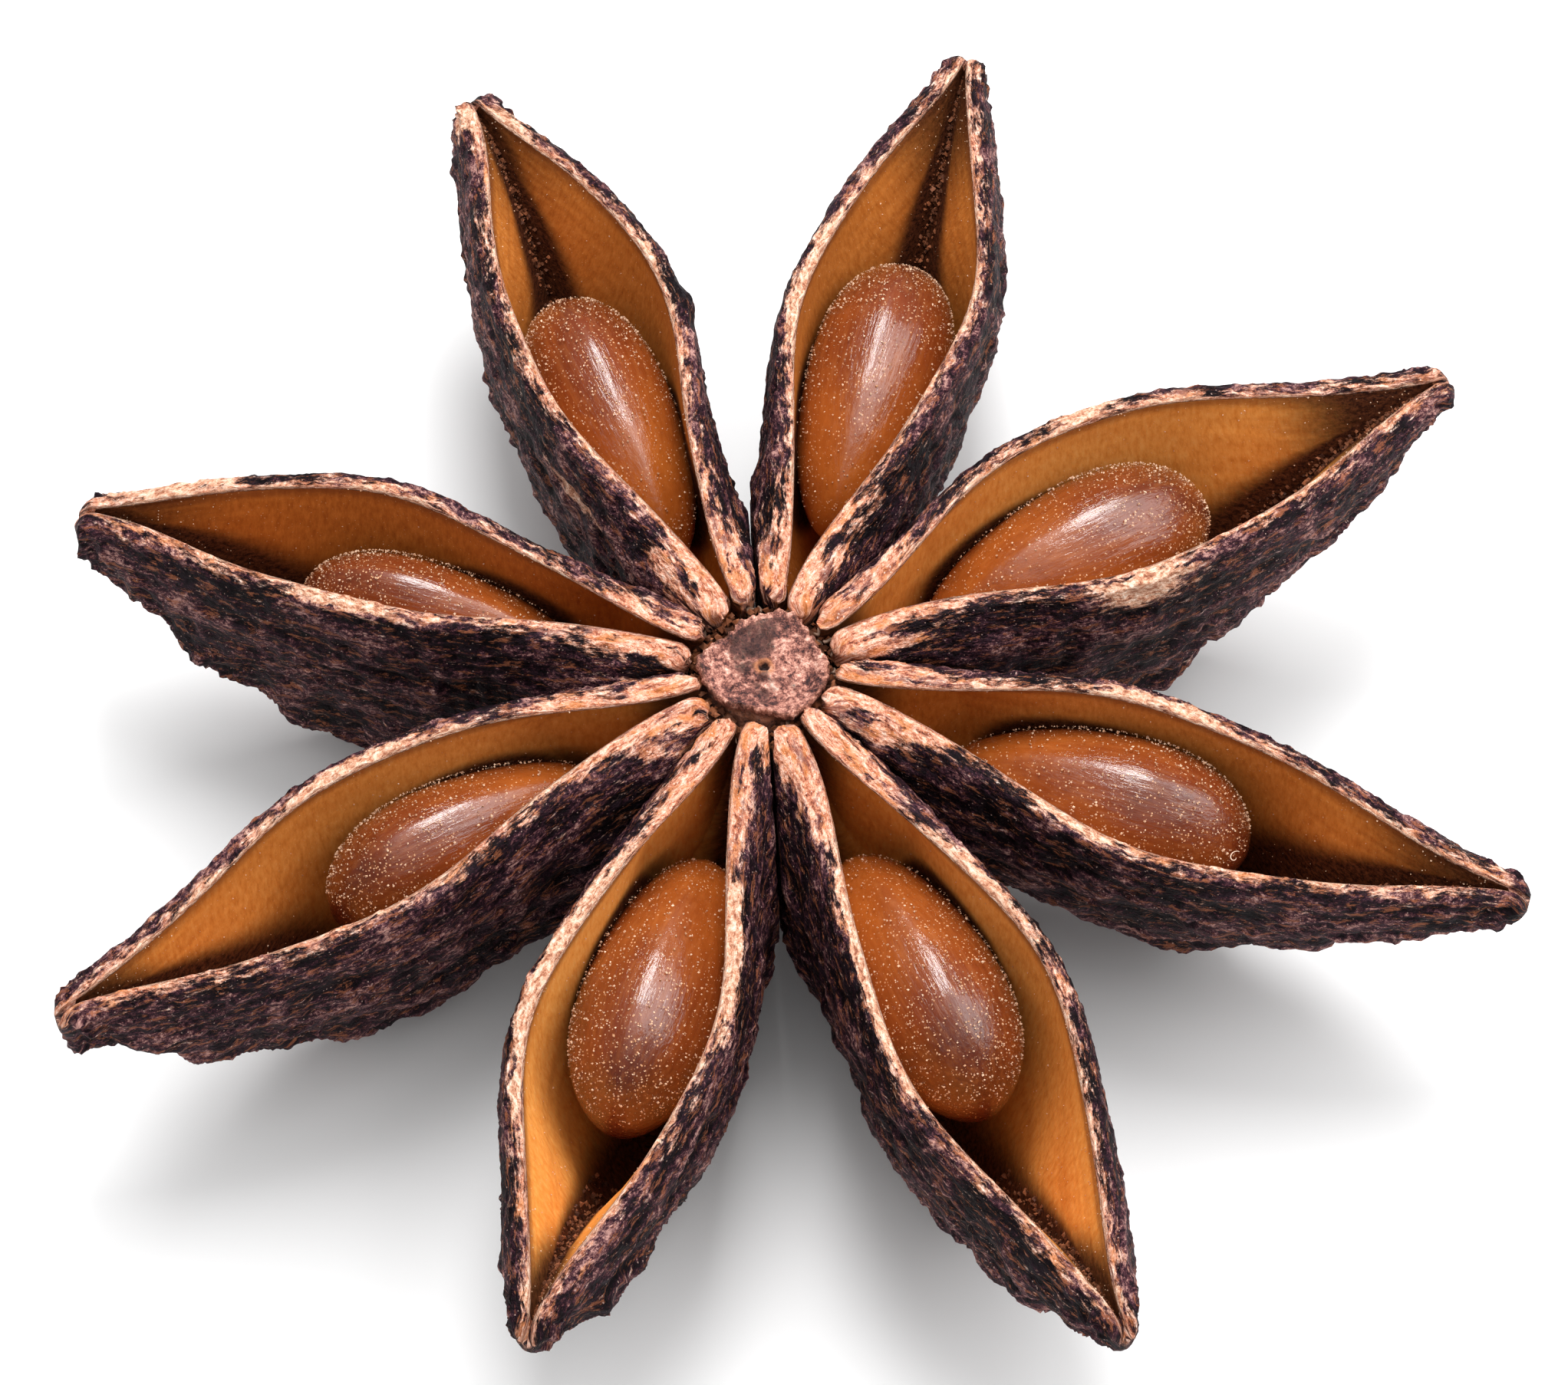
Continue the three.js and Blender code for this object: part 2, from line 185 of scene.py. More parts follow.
CROWDING = 0.035  # how much closer the sections lie near both ends
INNER_END_ROUND, TIP_ROUND = 0.3, 0.25  # radii over which the wall thins at its ends
END_THICKNESS = 0.35  # share of the wall's thickness left there
LIP_TEAR = (0.1, 0.045)  # depth of the torn grain at the column and farther out
INNER_RIM = 0.05  # height of the thin rim along a lip's inner edge
END_DROP = 0.12  # rounding of the lips' tops at their ends
LIP_END_LIMITS = (-0.26, 0.35)
LIP_END_REACH, INNER_DROP_REACH, TIP_DROP_REACH = 1.2, 0.25, 0.3
GAP_SHARE = 0.03  # how far the relief may stand into the gap to a neighbour
WRINKLE_HEIGHT = (0.035, 0.12)  # near the lip and on the flanks
LUMP_HEIGHT, PIMPLE_HEIGHT = 0.15, 0.04
PEEL_DEPTH, LINING_GRAIN = 0.05, 0.006
KNOB_SHARE = 0.75  # knobs stand a little lower than listed
# The next four set the painted shade in the cavities.
GLOOM_FADE = 0.42  # share of the way down over which a lining turns dark
TIP_GLOOM_RISE = (0.6, 0.92)
END_GLOOM = 0.85
SEED_SHADE, SEED_SHADE_GAP = 0.95, (0.38, 0.05)  # darkness of a lining close to its seed

CAVITY_SWELL = 0.5  # how much the cavity's walls follow the swell of the flanks
CAVITY_SWELL_FADE = (0.12, 0.35)  # where that falls from 2, the flanks' own value
CREVICE_FROM = (0.55, 0.74)  # where the rounded cavity turns into a sharp crevice
CREVICE_RISE = (0.6, 0.95)  # where its floor rises
CREVICE_DEPTH = 0.6  # depth of the crevice near the tip against the cavity's
CREVICE_FOLLOW = 0.9  # how far it runs under the middle of the slit
CREVICE_SHOULDER, CREVICE_KEEL = 0.75, 0.22  # its half breadths against the slit's
CREVICE_FOOT = 0.78
CREVICE_END, CREVICE_END_DEPTH = (0.955, 0.99), 0.06
TIP_CLOSED = 0.972  # fraction of the length from which the lips are grown together

# --- looks of the column
# Corners of the torn disc on top: angle and distance from the axis.
DISC_CORNERS = [
    (-1, 1.36), (26, 1.2), (70, 1.44), (94, 1.26), (138, 1.07), (171, 1.44),
    (201, 1.34), (255, 1.14), (285, 1.23), (295, 1.4), (336, 1.4),
]
DISC_HEIGHT, TOP_FROM = 6.96, 6.66
FOOT_HEIGHT, FOOT_RADIUS = 1.3, 1.3
# Rings of the neck under the disc: radius, height, how dark (painted shade) and warm they are.
NECK_RINGS = [(1.3, 6.3, 0.8, 0.4), (1.22, 6.5, 0.7, 0.5), (1.2, 6.62, 0.6, 0.6)]
# Rings of the disc's edge: share of its outline, height and how dark (painted shade) they are.
DISC_EDGE_RINGS = [
    (0.86, 6.68, 0.35), (0.95, 6.74, 0.15), (1.0, 6.81, 0), (1.0, 6.88, 0),
    (0.985, 6.94, 0), (0.955, 6.975, 0),
]
COLUMN_ENDS = [(0, 0, 0), (0, 0, COLUMN_TOP - 0.24)]  # middles of the scar and of the disc


# --- noise
def hashed(cells, seed):
    """A repeatable number from 0 to 1 for each cell of whole numbers."""
    h = np.full(cells.shape[:-1], (seed * 2654435761) & 0xFFFFFFFF, np.uint32)
    for axis in range(cells.shape[-1]):
        h ^= cells[..., axis].astype(np.uint32)
        for shift, factor in ((16, 0x7FEB352D), (15, 0x846CA68B)):
            h ^= h >> np.uint32(shift)
            h *= np.uint32(factor)
        h ^= h >> np.uint32(16)
    return h / 4294967295.0


def noise(seed, *coordinates):
    """Smooth noise from -1 to 1. Each coordinate is in units of its own grain."""
    points = np.stack(np.broadcast_arrays(*coordinates), -1)
    base = np.floor(points).astype(np.int64)
    part = points - base
    ease = part * part * part * (part * (part * 6 - 15) + 10)
    total = 0.0
    for corner in itertools.product((0, 1), repeat=len(coordinates)):
        weight = np.where(np.array(corner, bool), ease, 1 - ease).prod(-1)
        total = total + weight * hashed(base + np.array(corner), seed)
    return 2 * total - 1


def fractal(seed, octaves, *coordinates):
    """Noise with ever finer and weaker layers."""
    total, weight = 0.0, 1.0
    for octave in range(octaves):
        scale = 2.03**octave
        total = total + weight * noise(seed + octave, *(c * scale for c in coordinates))
        weight *= 0.55
    return total


def clamp(x, low=0.0, high=1.0):
    return np.minimum(np.maximum(x, low), high)


def smooth(x, low, high):
    """0 below low, 1 above high, and a smooth step between."""
    s = clamp((x - low) / (high - low))
    return s * s * (3 - 2 * s)


def mix(a, b, share):
    return a + (b - a) * share


def quarter_wave(share):
    return np.sin(np.pi / 2 * clamp(share))


# --- carpel's shape
def lip_height(t):
    return LIP_HEIGHT + LIP_CROWN * np.sin(np.pi * t) - TIP_DROOP * t * t


def slit_middle(c, t):
    return c["sway"] * np.sin(np.pi * t) + c["hook"] * np.sin(2 * np.pi * t)


def lip_offset(c, t, side):
    opening = quarter_wave(t / c["peak"]) ** OPENING_POWER
    closing = quarter_wave((1 - t) / (1 - c["peak"])) ** CLOSING_POWER
    inner, outer = mix(LIP_AT_COLUMN, c["gape"], opening), mix(LIP_AT_TIP, c["gape"], closing)
    wave = np.sin(RIPPLE_TURN * t + c["heading"] + side)
    return np.where(t < c["peak"], inner, outer) + RIPPLE * np.sin(np.pi * t) * wave


def wall_thickness(t):
    return mix(WALL_AT_COLUMN, WALL, quarter_wave(t / WALL_TAPER_END))


def end_share(t):
    past = clamp((t - TIP_START) / (1 - TIP_START))
    return mix(1, TIP_SHARE, past * past)


def flank_swell(t):
    full = mix(FLANK_BULGE, FLANK_BULGE_OUT, quarter_wave(2 * t))
    return full * quarter_wave((1 - t) / FLANK_BULGE_END)


def section_top(c, t):
    return lip_height(t) - (1 - end_share(t)) * 0.5 * c["beak"]


def carpel_depth(c, t):
    inner = mix(DEPTH_AT_COLUMN, c["depth"], quarter_wave(t / c["belly"]))
    rise = quarter_wave((1 - t) / (1 - c["belly"])) ** BELLY_POWER
    return np.where(t < c["belly"], inner, mix(c["beak"], c["depth"], rise))


def cavity_depth(c, t):
    ends = quarter_wave(np.minimum(t, 1 - t) / CAVITY_END_RISE)
    return mix(CAVITY_END_DEPTH, carpel_depth(c, t) - KEEL_WALL, ends)


def side_limit(index, out, side):
    """How far left or right a carpel may go before it meets its neighbour."""
    slopes = []
    for way in (LEFT, RIGHT):
        neighbour = CARPELS[(index - way) % len(CARPELS)]
        turn = way * (neighbour["heading"] - CARPELS[index]["heading"])
        slopes.append(math.tan(math.radians(turn % 360) / 2))
    return out * np.where(side > 0, *slopes) - NEIGHBOUR_GAP / 2


def carpel_points(index, t, side, is_cavity, share):
    """Points of the outer face, or of the cavity, in the carpel's own frame."""
    c = CARPELS[index]
    end = end_share(t)
    thickness = wall_thickness(t) * end
    lip = lip_offset(c, t, side) * end
    if is_cavity:
        vee = smooth(t, *CREVICE_FROM)
        edge = np.maximum(lip - thickness / 2, SLIT_HALF)
        swell = mix(2, CAVITY_SWELL, smooth(t, *CAVITY_SWELL_FADE)) * flank_swell(t)
        shoulder = mix(edge + swell, edge * CREVICE_SHOULDER, vee)
        keel_half = mix(edge * CAVITY_KEEL, edge * CREVICE_KEEL, vee)
        foot_down = mix(1.0, CREVICE_FOOT, vee)
        depth = cavity_depth(c, t) * end * mix(1, CREVICE_DEPTH, smooth(t, *CREVICE_RISE))
        depth = mix(depth, CREVICE_END_DEPTH, smooth(t, *CREVICE_END))
    else:
        vee, foot_down = 0.0, 1.0
        edge = lip + thickness / 2
        shoulder = edge + 2 * flank_swell(t)
        keel_half = np.minimum(KEEL_HALF, edge)
        depth = carpel_depth(c, t) * end
    rest = 1 - share
    near, upper = rest**3, 3 * rest**2 * share
    lower, far = 3 * rest * share**2, share**3
    across = near * edge + upper * shoulder + lower * keel_half
    down = (upper * FLANK_BULGE_DEPTH + lower * foot_down + far) * depth

    out = mix(CARPEL_START, c["reach"], t)
    lean = c["lean"] * np.sin(np.pi * t) * share**1.5
    middle = slit_middle(c, t) * (1 - share * (1 - CREVICE_FOLLOW * vee))
    free = middle + lean * (1 - vee) + side * across
    limit = side_limit(index, out, side) - (thickness if is_cavity else 0)
    left = side * np.minimum(side * free, limit)
    z = np.maximum(section_top(c, t) - down, KEEL_WALL if is_cavity else 0)
    return np.stack(np.broadcast_arrays(out, left, z), -1)


def grid_normals(points):
    """Unit normals of a grid whose columns close on themselves."""
    along = np.gradient(points, axis=0)
    around = np.roll(points, -1, 1) - np.roll(points, 1, 1)
    normal = np.cross(along, around)
    return normal / np.maximum(np.linalg.norm(normal, axis=-1, keepdims=True), 1e-9)


def turned(points, degrees):
    """Points turned round the vertical axis."""
    c, s = math.cos(math.radians(degrees)), math.sin(math.radians(degrees))
    return points @ np.array([[c, s, 0], [-s, c, 0], [0, 0, 1]])


def inside_box(points):
    """Points kept within the frame's own box."""
    low, high = np.array(CAD_BOX) / MM
    return clamp(points, low + [BOX_MARGIN, BOX_MARGIN, 0], high - BOX_MARGIN)


# --- mesh making
def grid_faces(rows, size):
    """Quads between closed loops that are stacked row on row."""
    row, i = np.meshgrid(np.arange(rows - 1), np.arange(size), indexing="ij")
    here, nxt = row * size + i, row * size + (i + 1) % size
    return np.stack([here, nxt, nxt + size, here + size], -1).reshape(-1, 4)


def capped_faces(rows, size):
    """grid_faces, and fans that close both ends round two more points."""
    foot, last = rows * size, (rows - 1) * size
    faces = grid_faces(rows, size).tolist()
    faces += [[foot, (i + 1) % size, i] for i in range(size)]
    faces += [[foot + 1, last + i, last + (i + 1) % size] for i in range(size)]
    return faces


def add_object(name, data):
    thing = bpy.data.objects.new(name, data)
    bpy.context.scene.collection.objects.link(thing)
    return thing


def add_mesh(name, points, faces, material, attributes, smooth_shade=True):
    """A mesh object. Attributes are numbers, or vectors, per point."""
    mesh = bpy.data.meshes.new(name)
    mesh.from_pydata((np.asarray(points) * MM).tolist(), [], [list(f) for f in faces])
    mesh.polygons.foreach_set("use_smooth", [smooth_shade] * len(mesh.polygons))
    for key, values in attributes.items():
        values = np.asarray(values, np.float32)
        kind, field = ("FLOAT", "value") if values.ndim == 1 else ("FLOAT_VECTOR", "vector")
        mesh.attributes.new(key, kind, "POINT").data.foreach_set(field, values.ravel())
    mesh.materials.append(material)
    mesh.update()
    return add_object(name, mesh)


def make_piece(name, points, faces, material, attributes, smooth_shade=True):
    """A mesh piece that rides on the pod, kept within the frame's own box."""
    piece = add_mesh(name, inside_box(points), faces, material, attributes, smooth_shade)
    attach(piece, "root")
    return piece


# --- shaders
class Shader:
    """A material whose nodes are made by short calls."""

    def __init__(self, name):
        self.material = bpy.data.materials.new(name)
        self.material.use_nodes = True
        self.tree = self.material.node_tree
        self.tree.nodes.clear()
        self.surface = self.tree.nodes.new("ShaderNodeBsdfPrincipled")
        output = self.tree.nodes.new("ShaderNodeOutputMaterial")
        self.tree.links.new(self.surface.outputs[0], output.inputs["Surface"])
        self.place = self.node("Attribute", {}, "Vector", attribute_name="place")

    def node(self, kind, inputs, output=0, **settings):
        """Makes a node and returns one of its outputs."""
        node = self.tree.nodes.new("ShaderNode" + kind)
        for key, value in settings.items():
            setattr(node, key, value)
        for key, value in inputs.items():
            self.feed(node.inputs[key], value)
        return node.outputs[output]

    def feed(self, socket, value):
        if isinstance(value, bpy.types.NodeSocket):
            self.tree.links.new(value, socket)
        elif isinstance(value, tuple) and socket.type == "RGBA":
            socket.default_value = (*value, 1.0)
        else:
            socket.default_value = value

    def put(self, name, value):
        self.feed(self.surface.inputs[name], value)

    def read(self, name):
        return self.node("Attribute", {}, "Fac", attribute_name=name)

    def stretched(self, scale):
        """The place, counted in grains instead of mm."""
        return self.node("VectorMath", {0: self.place, 1: scale}, operation="MULTIPLY")

    def grain(self, scale, detail=3.0, rough=0.6, distort=0.0):
        """Noise, mostly from 0.3 to 0.7, with its grains' numbers per mm."""
        look = {"Detail": detail, "Roughness": rough, "Distortion": distort}
        return self.node("TexNoise", {"Vector": self.stretched(scale), "Scale": 1.0, **look})

    def specks(self, scale, radius):
        """1 in scattered round specks, 0 elsewhere."""
        inputs = {"Vector": self.stretched(scale), "Scale": 1.0}
        return self.step(self.node("TexVoronoi", inputs, "Distance"), radius, radius * 0.6)

    def maths(self, operation, a, b):
        return self.node("Math", {0: a, 1: b}, operation=operation)

    times = functools.partialmethod(maths, "MULTIPLY")
    plus = functools.partialmethod(maths, "ADD")
    minus = functools.partialmethod(maths, "SUBTRACT")

    def total(self, *parts):
        """The sum of some values, each given after its weight."""
        return functools.reduce(self.plus, [self.times(value, weight) for weight, value in parts])

    def step(self, value, low, high):
        """0 at low, 1 at high, smooth between. High may be the lower number."""
        inputs = {
            "Value": value, "From Min": min(low, high), "From Max": max(low, high),
            "To Min": float(low > high), "To Max": float(low < high),
        }
        return self.node("MapRange", inputs, "Result", interpolation_type="SMOOTHSTEP")

    def blend(self, share, a, b):
        return self.node("Mix", {"Factor": share, 6: a, 7: b}, 2, data_type="RGBA")

    def ramp(self, value, *stops):
        colour = self.node("ValToRGB", {"Fac": value}, "Color")
        elements = colour.node.color_ramp.elements
        while len(elements) < len(stops):
            elements.new(0.5)
        for element, (at, shade) in zip(elements, stops):
            element.position = at
            element.color = (*shade, 1.0)
        return colour

    def bump(self, height, distance, strength=1.0, name="Normal"):
        inputs = {"Height": height, "Distance": distance * MM, "Strength": strength}
        self.put(name, self.node("Bump", inputs))


def bark_colour(s, wood, fine, gritty):
    """Nearly black purple to mauve brown, tan flecks; painted shade in grooves, light on ridges."""
    near_rim = s.step(wood, -1.8, -0.1)
    patch = s.grain((0.8, 1.5, 1), 4, 0.6, 0.6)
    relief = s.read("relief")
    # The relief term darkens the grooves and lightens the ridges: painted shade and painted light.
    height = s.total((0.08, relief), (0.14, patch), (0.46, fine), (0.4, gritty), (0.032, near_rim))
    bark = s.ramp(
        height, (0.46, (0.003, 0.0008, 0.0018)), (0.52, (0.008, 0.002, 0.0046)),
        (0.562, (0.027, 0.0072, 0.0145)), (0.60, (0.115, 0.038, 0.046)), (0.652, (0.5, 0.27, 0.23)),
    )
    # Bluish grey patches: partly dust, partly a painted sheen.
    dust_and_sheen = s.step(s.grain((0.9, 2.0, 1), 5, 0.7, 0.5), 0.5, 0.66)
    bark = s.blend(s.times(dust_and_sheen, 0.12), bark, (0.09, 0.05, 0.075))
    fleck = s.step(s.grain((1.6, 6, 1), 6, 0.8), 0.54, 0.6)
    fleck = s.times(fleck, s.plus(s.times(near_rim, 0.5), 0.22))
    bark = s.blend(fleck, bark, (0.34, 0.11, 0.05))
    # Pale specks: partly dust, partly painted glints.
    return s.blend(s.times(s.specks((7, 8, 1), 0.13), 0.75), bark, (0.5, 0.33, 0.28))


def torn_colour(s, fibre, gritty):
    """Torn wood of the lips: pinkish tan to amber, with purple streaks."""
    torn = s.ramp(
        s.total((0.5, fibre), (0.5, gritty)), (0.40, (0.12, 0.03, 0.02)),
        (0.45, (0.42, 0.12, 0.062)), (0.495, (0.71, 0.30, 0.18)), (0.55, (0.94, 0.53, 0.39)),
        (0.62, (1.0, 0.82, 0.70)),
    )
    amber = s.step(s.grain((1.3, 3, 1), 4, 0.6), 0.5, 0.62)
    torn = s.blend(s.times(amber, 0.6), torn, (0.62, 0.2, 0.045))
    streak = s.step(s.grain((0.9, 2.4, 1), 7, 0.74), 0.52, 0.63)
    torn = s.blend(s.times(streak, 0.7), torn, (0.12, 0.036, 0.044))
    # Near white specks: partly pale grains of the wood, partly painted glints.
    return s.blend(s.times(s.specks((9, 10, 1), 0.2), 0.55), torn, (1.0, 0.78, 0.66))


def rim_colour(s):
    """Cream to tan of the thin edge beside the lining."""
    return s.ramp(
        s.grain((5, 9, 1), 5, 0.8), (0.38, (0.28, 0.09, 0.05)), (0.46, (0.58, 0.26, 0.15)),
        (0.54, (0.82, 0.51, 0.36)), (0.65, (1.0, 0.80, 0.66)),
    )


def lining_colour(s, over, silk, fine, gritty):
    """Satin ochre to orange brown, dusty, with painted shade nearly black low in the cavity."""
    golden = s.ramp(
        silk, (0.3, (0.79, 0.28, 0.044)), (0.5, (0.95, 0.41, 0.088)), (0.7, (1.0, 0.52, 0.145)),
    )
    orange = s.ramp(
        silk, (0.3, (0.36, 0.088, 0.012)), (0.5, (0.50, 0.145, 0.022)), (0.7, (0.63, 0.20, 0.036)),
    )
    # How golden a lining is: partly its own colour, partly painted light for how lit its wall is.
    lining = s.blend(s.read("tone_and_light"), orange, golden)
    cloud = s.step(s.grain((0.4, 0.9, 1), 3, 0.5), 0.4, 0.7)
    lining = s.blend(s.times(cloud, 0.3), lining, (0.46, 0.13, 0.018))
    under_lip = s.step(s.plus(over, s.times(fine, 0.3)), -0.25, 0.1)
    lining = s.blend(s.times(under_lip, 0.65), lining, (0.17, 0.042, 0.014))
    lining = s.blend(s.times(s.specks((9, 9, 1), 0.14), 0.5), lining, (0.85, 0.5, 0.24))
    # Painted shade: low in the cavity, past and beside the seed, and at both ends.
    gloom = s.step(s.plus(s.read("cavity_shade"), s.times(fine, 0.25)), 0.35, 1.05)
    dark = s.ramp(gritty, (0.42, (0.02, 0.005, 0.003)), (0.6, (0.12, 0.036, 0.014)))
    return s.blend(gloom, lining, dark)


def husk_material():
    """Bark, torn wood, pale rim and satin lining, told apart by attributes."""
    s = Shader("husk")
    wood, rim, over = s.read("wood"), s.read("rim"), s.read("over")
    fine = s.grain((4.0, 7.5, 1), 7, 0.8)
    gritty = s.grain((8, 11, 1), 5, 0.85)
    fibre = s.grain((1.9, 7.5, 1), 6, 0.76)
    silk = s.grain((9, 2.6, 1), 6, 0.68)

    ragged = s.minus(fine, 0.5)
    strands = s.minus(fibre, 0.5)
    shows_wood = s.step(s.total((1, wood), (0.9, ragged), (1.8, strands)), -0.14, 0.2)
    shows_rim = s.step(s.total((1, rim), (0.4, ragged)), -0.02, 0.03)
    is_lining = s.step(s.total((1, over), (0.14, ragged)), 0.01, -0.03)
    bark = bark_colour(s, wood, fine, gritty)
    outer = s.blend(shows_wood, bark, torn_colour(s, fibre, gritty))
    outer = s.blend(shows_rim, outer, rim_colour(s))
    lining = lining_colour(s, over, silk, fine, gritty)
    s.put("Base Color", s.blend(is_lining, outer, lining))

    is_outer = s.minus(1.0, is_lining)
    satin, rough = s.plus(s.times(silk, 0.25), 0.38), s.plus(s.times(fine, 0.5), 0.42)
    s.put("Roughness", s.plus(s.times(satin, is_lining), s.times(rough, is_outer)))
    crust = s.times(s.grain((5, 8, 1), 3, 0.65), is_outer)
    faint = s.times(s.grain((9, 4, 1), 2), s.times(is_lining, 0.12))
    s.bump(s.plus(crust, faint), 0.1)
    s.put("Specular IOR Level", 0.14)
    return s.material


def seed_material():
    """Polished caramel coat, lighter at the inner end, darker at the outer, painted shade below."""
    s = Shader("seed_coat")
    mottle = s.grain((0.5, 0.8, 0.8), 4, 0.6)
    coat = s.ramp(
        s.total((0.46, s.read("end")), (0.5, mottle)), (0.0, (0.54, 0.17, 0.024)),
        (0.3, (0.38, 0.092, 0.012)), (0.55, (0.20, 0.035, 0.0065)), (0.8, (0.075, 0.0115, 0.004)),
    )
    streaks = s.grain((0.7, 9, 9), 4, 0.6)
    coat = s.blend(s.times(s.step(streaks, 0.42, 0.7), 0.12), coat, (0.7, 0.25, 0.06))
    # Painted shade on the seed's lower side.
    coat = s.blend(s.times(s.step(s.read("rise"), 0.1, -0.7), 0.6), coat, (0.1, 0.02, 0.006))
    powder = s.specks((10, 10, 10), 0.24)
    patchy = s.step(s.grain((1.2, 1.2, 1.2), 3), 0.35, 0.65)
    coat = s.blend(s.times(powder, s.times(patchy, 0.85)), coat, (0.9, 0.5, 0.26))
    s.put("Base Color", coat)
    s.put("Roughness", s.plus(s.times(streaks, 0.3), 0.2))
    s.put("Specular IOR Level", 0.3)
    s.put("Coat Weight", 1.0)
    s.put("Coat Roughness", 0.04)
    s.put("Coat IOR", 1.7)
    s.bump(s.total((1, streaks), (0.5, powder)), 0.01, 0.6)
    s.bump(s.grain((0.8, 6, 6), 4, 0.65), 0.04, 1.0, "Coat Normal")
    return s.material


def pith_material():
    """Rough broken wood: brownish mauve with grey, pink and orange grains."""
    s = Shader("pith")
    coarse = s.grain((1.8, 1.8, 1.8), 6, 0.75, 0.4)
    fine = s.grain((7, 7, 7), 5, 0.85)
    wood = s.ramp(
        s.total((0.45, coarse), (0.55, fine)), (0.42, (0.03, 0.009, 0.010)),
        (0.47, (0.17, 0.054, 0.042)), (0.51, (0.42, 0.165, 0.12)), (0.56, (0.72, 0.365, 0.275)),
        (0.62, (0.98, 0.72, 0.6)),
    )
    wood = s.blend(s.times(s.read("warm"), 0.8), wood, (0.52, 0.19, 0.07))
    # Dark values are painted shade on the column's sides, under the disc and in its pit, and dark
    # patches on its top.
    shade_and_patches = s.step(s.total((1, s.read("dark")), (2.5, s.minus(fine, 0.5))), 0.25, 1.15)
    s.put("Base Color", s.blend(shade_and_patches, wood, (0.02, 0.007, 0.0065)))
    s.put("Roughness", s.plus(s.times(fine, 0.4), 0.6))
    s.bump(s.grain((5, 5, 5), 4, 0.7), 0.1)
    return s.material


def grit_material(name, dark, light):
    """Crumbs, dust and fibres: each grain takes its own shade."""
    s = Shader(name)
    speckle = s.grain((30, 30, 30), 3, 0.7)
    value = s.total((0.7, s.read("shade")), (0.3, speckle))
    s.put("Base Color", s.ramp(value, (0.1, dark), (0.9, light)))
    s.put("Roughness", s.plus(s.times(speckle, 0.4), 0.45))
    s.bump(speckle, 0.01, 0.5)
    return s.material


# --- carpels
def bark_relief(index, out, arc):
    """Fine wrinkles along the length that fork and join, from -1 to 1."""
    seed = 100 + 10 * index
    bend = fractal(seed, 3, out / 2.2, arc / 1.5)
    ridge = 1 - 2.4 * np.abs(noise(seed + 4, out / 1.9, (arc + 0.42 * bend) / 0.52))
    small = 1 - 2.4 * np.abs(noise(seed + 5, out / 0.8 + 7, (arc + 0.3 * bend) / 0.24))
    return clamp(0.55 * ridge + 0.45 * small, -1, 1)


def blunt_ends(c, t, outer, cavity):
    """Both faces with their ends rounded off, and the share of thickness left."""
    length = c["reach"] - CARPEL_START
    nearest = np.minimum(t * length / INNER_END_ROUND, (1 - t) * length / TIP_ROUND)[..., None]
    full = mix(END_THICKNESS, 1, np.sqrt(1 - (1 - clamp(nearest)) ** 2))
    middle = (outer + cavity) / 2
    return middle + (outer - middle) * full, middle + (cavity - middle) * full, full


def lip_rows(seed, lip_side, outer_edge, inner_edge, full):
    """Points over a torn lip from its outer edge, and their shares of its width."""
    u = np.arange(1, LIP_STEPS + 1)[None, :, None] / (LIP_STEPS + 1)
    points = outer_edge[:, None] * (1 - u) + inner_edge[:, None] * u
    out = points[..., :1]
    crown = LIP_ROUND * (1 - (2 * u - 1) ** 2) * full
    torn = mix(*LIP_TEAR, smooth(out, 2.5, 7)) * fractal(seed + lip_side, 3, out / 0.2, 3 * u)
    ragged = 0.6 + fractal(seed + 7 + lip_side, 2, out / 0.3, u * 0)
    points[..., 2:] += crown + torn * np.sin(np.pi * u) + INNER_RIM * smooth(u, 0.62, 0.92) * ragged
    points[..., 1:2] += 0.03 * fractal(seed + 3 + lip_side, 3, out / 0.3, 2 * u)
    return points, u[..., 0]


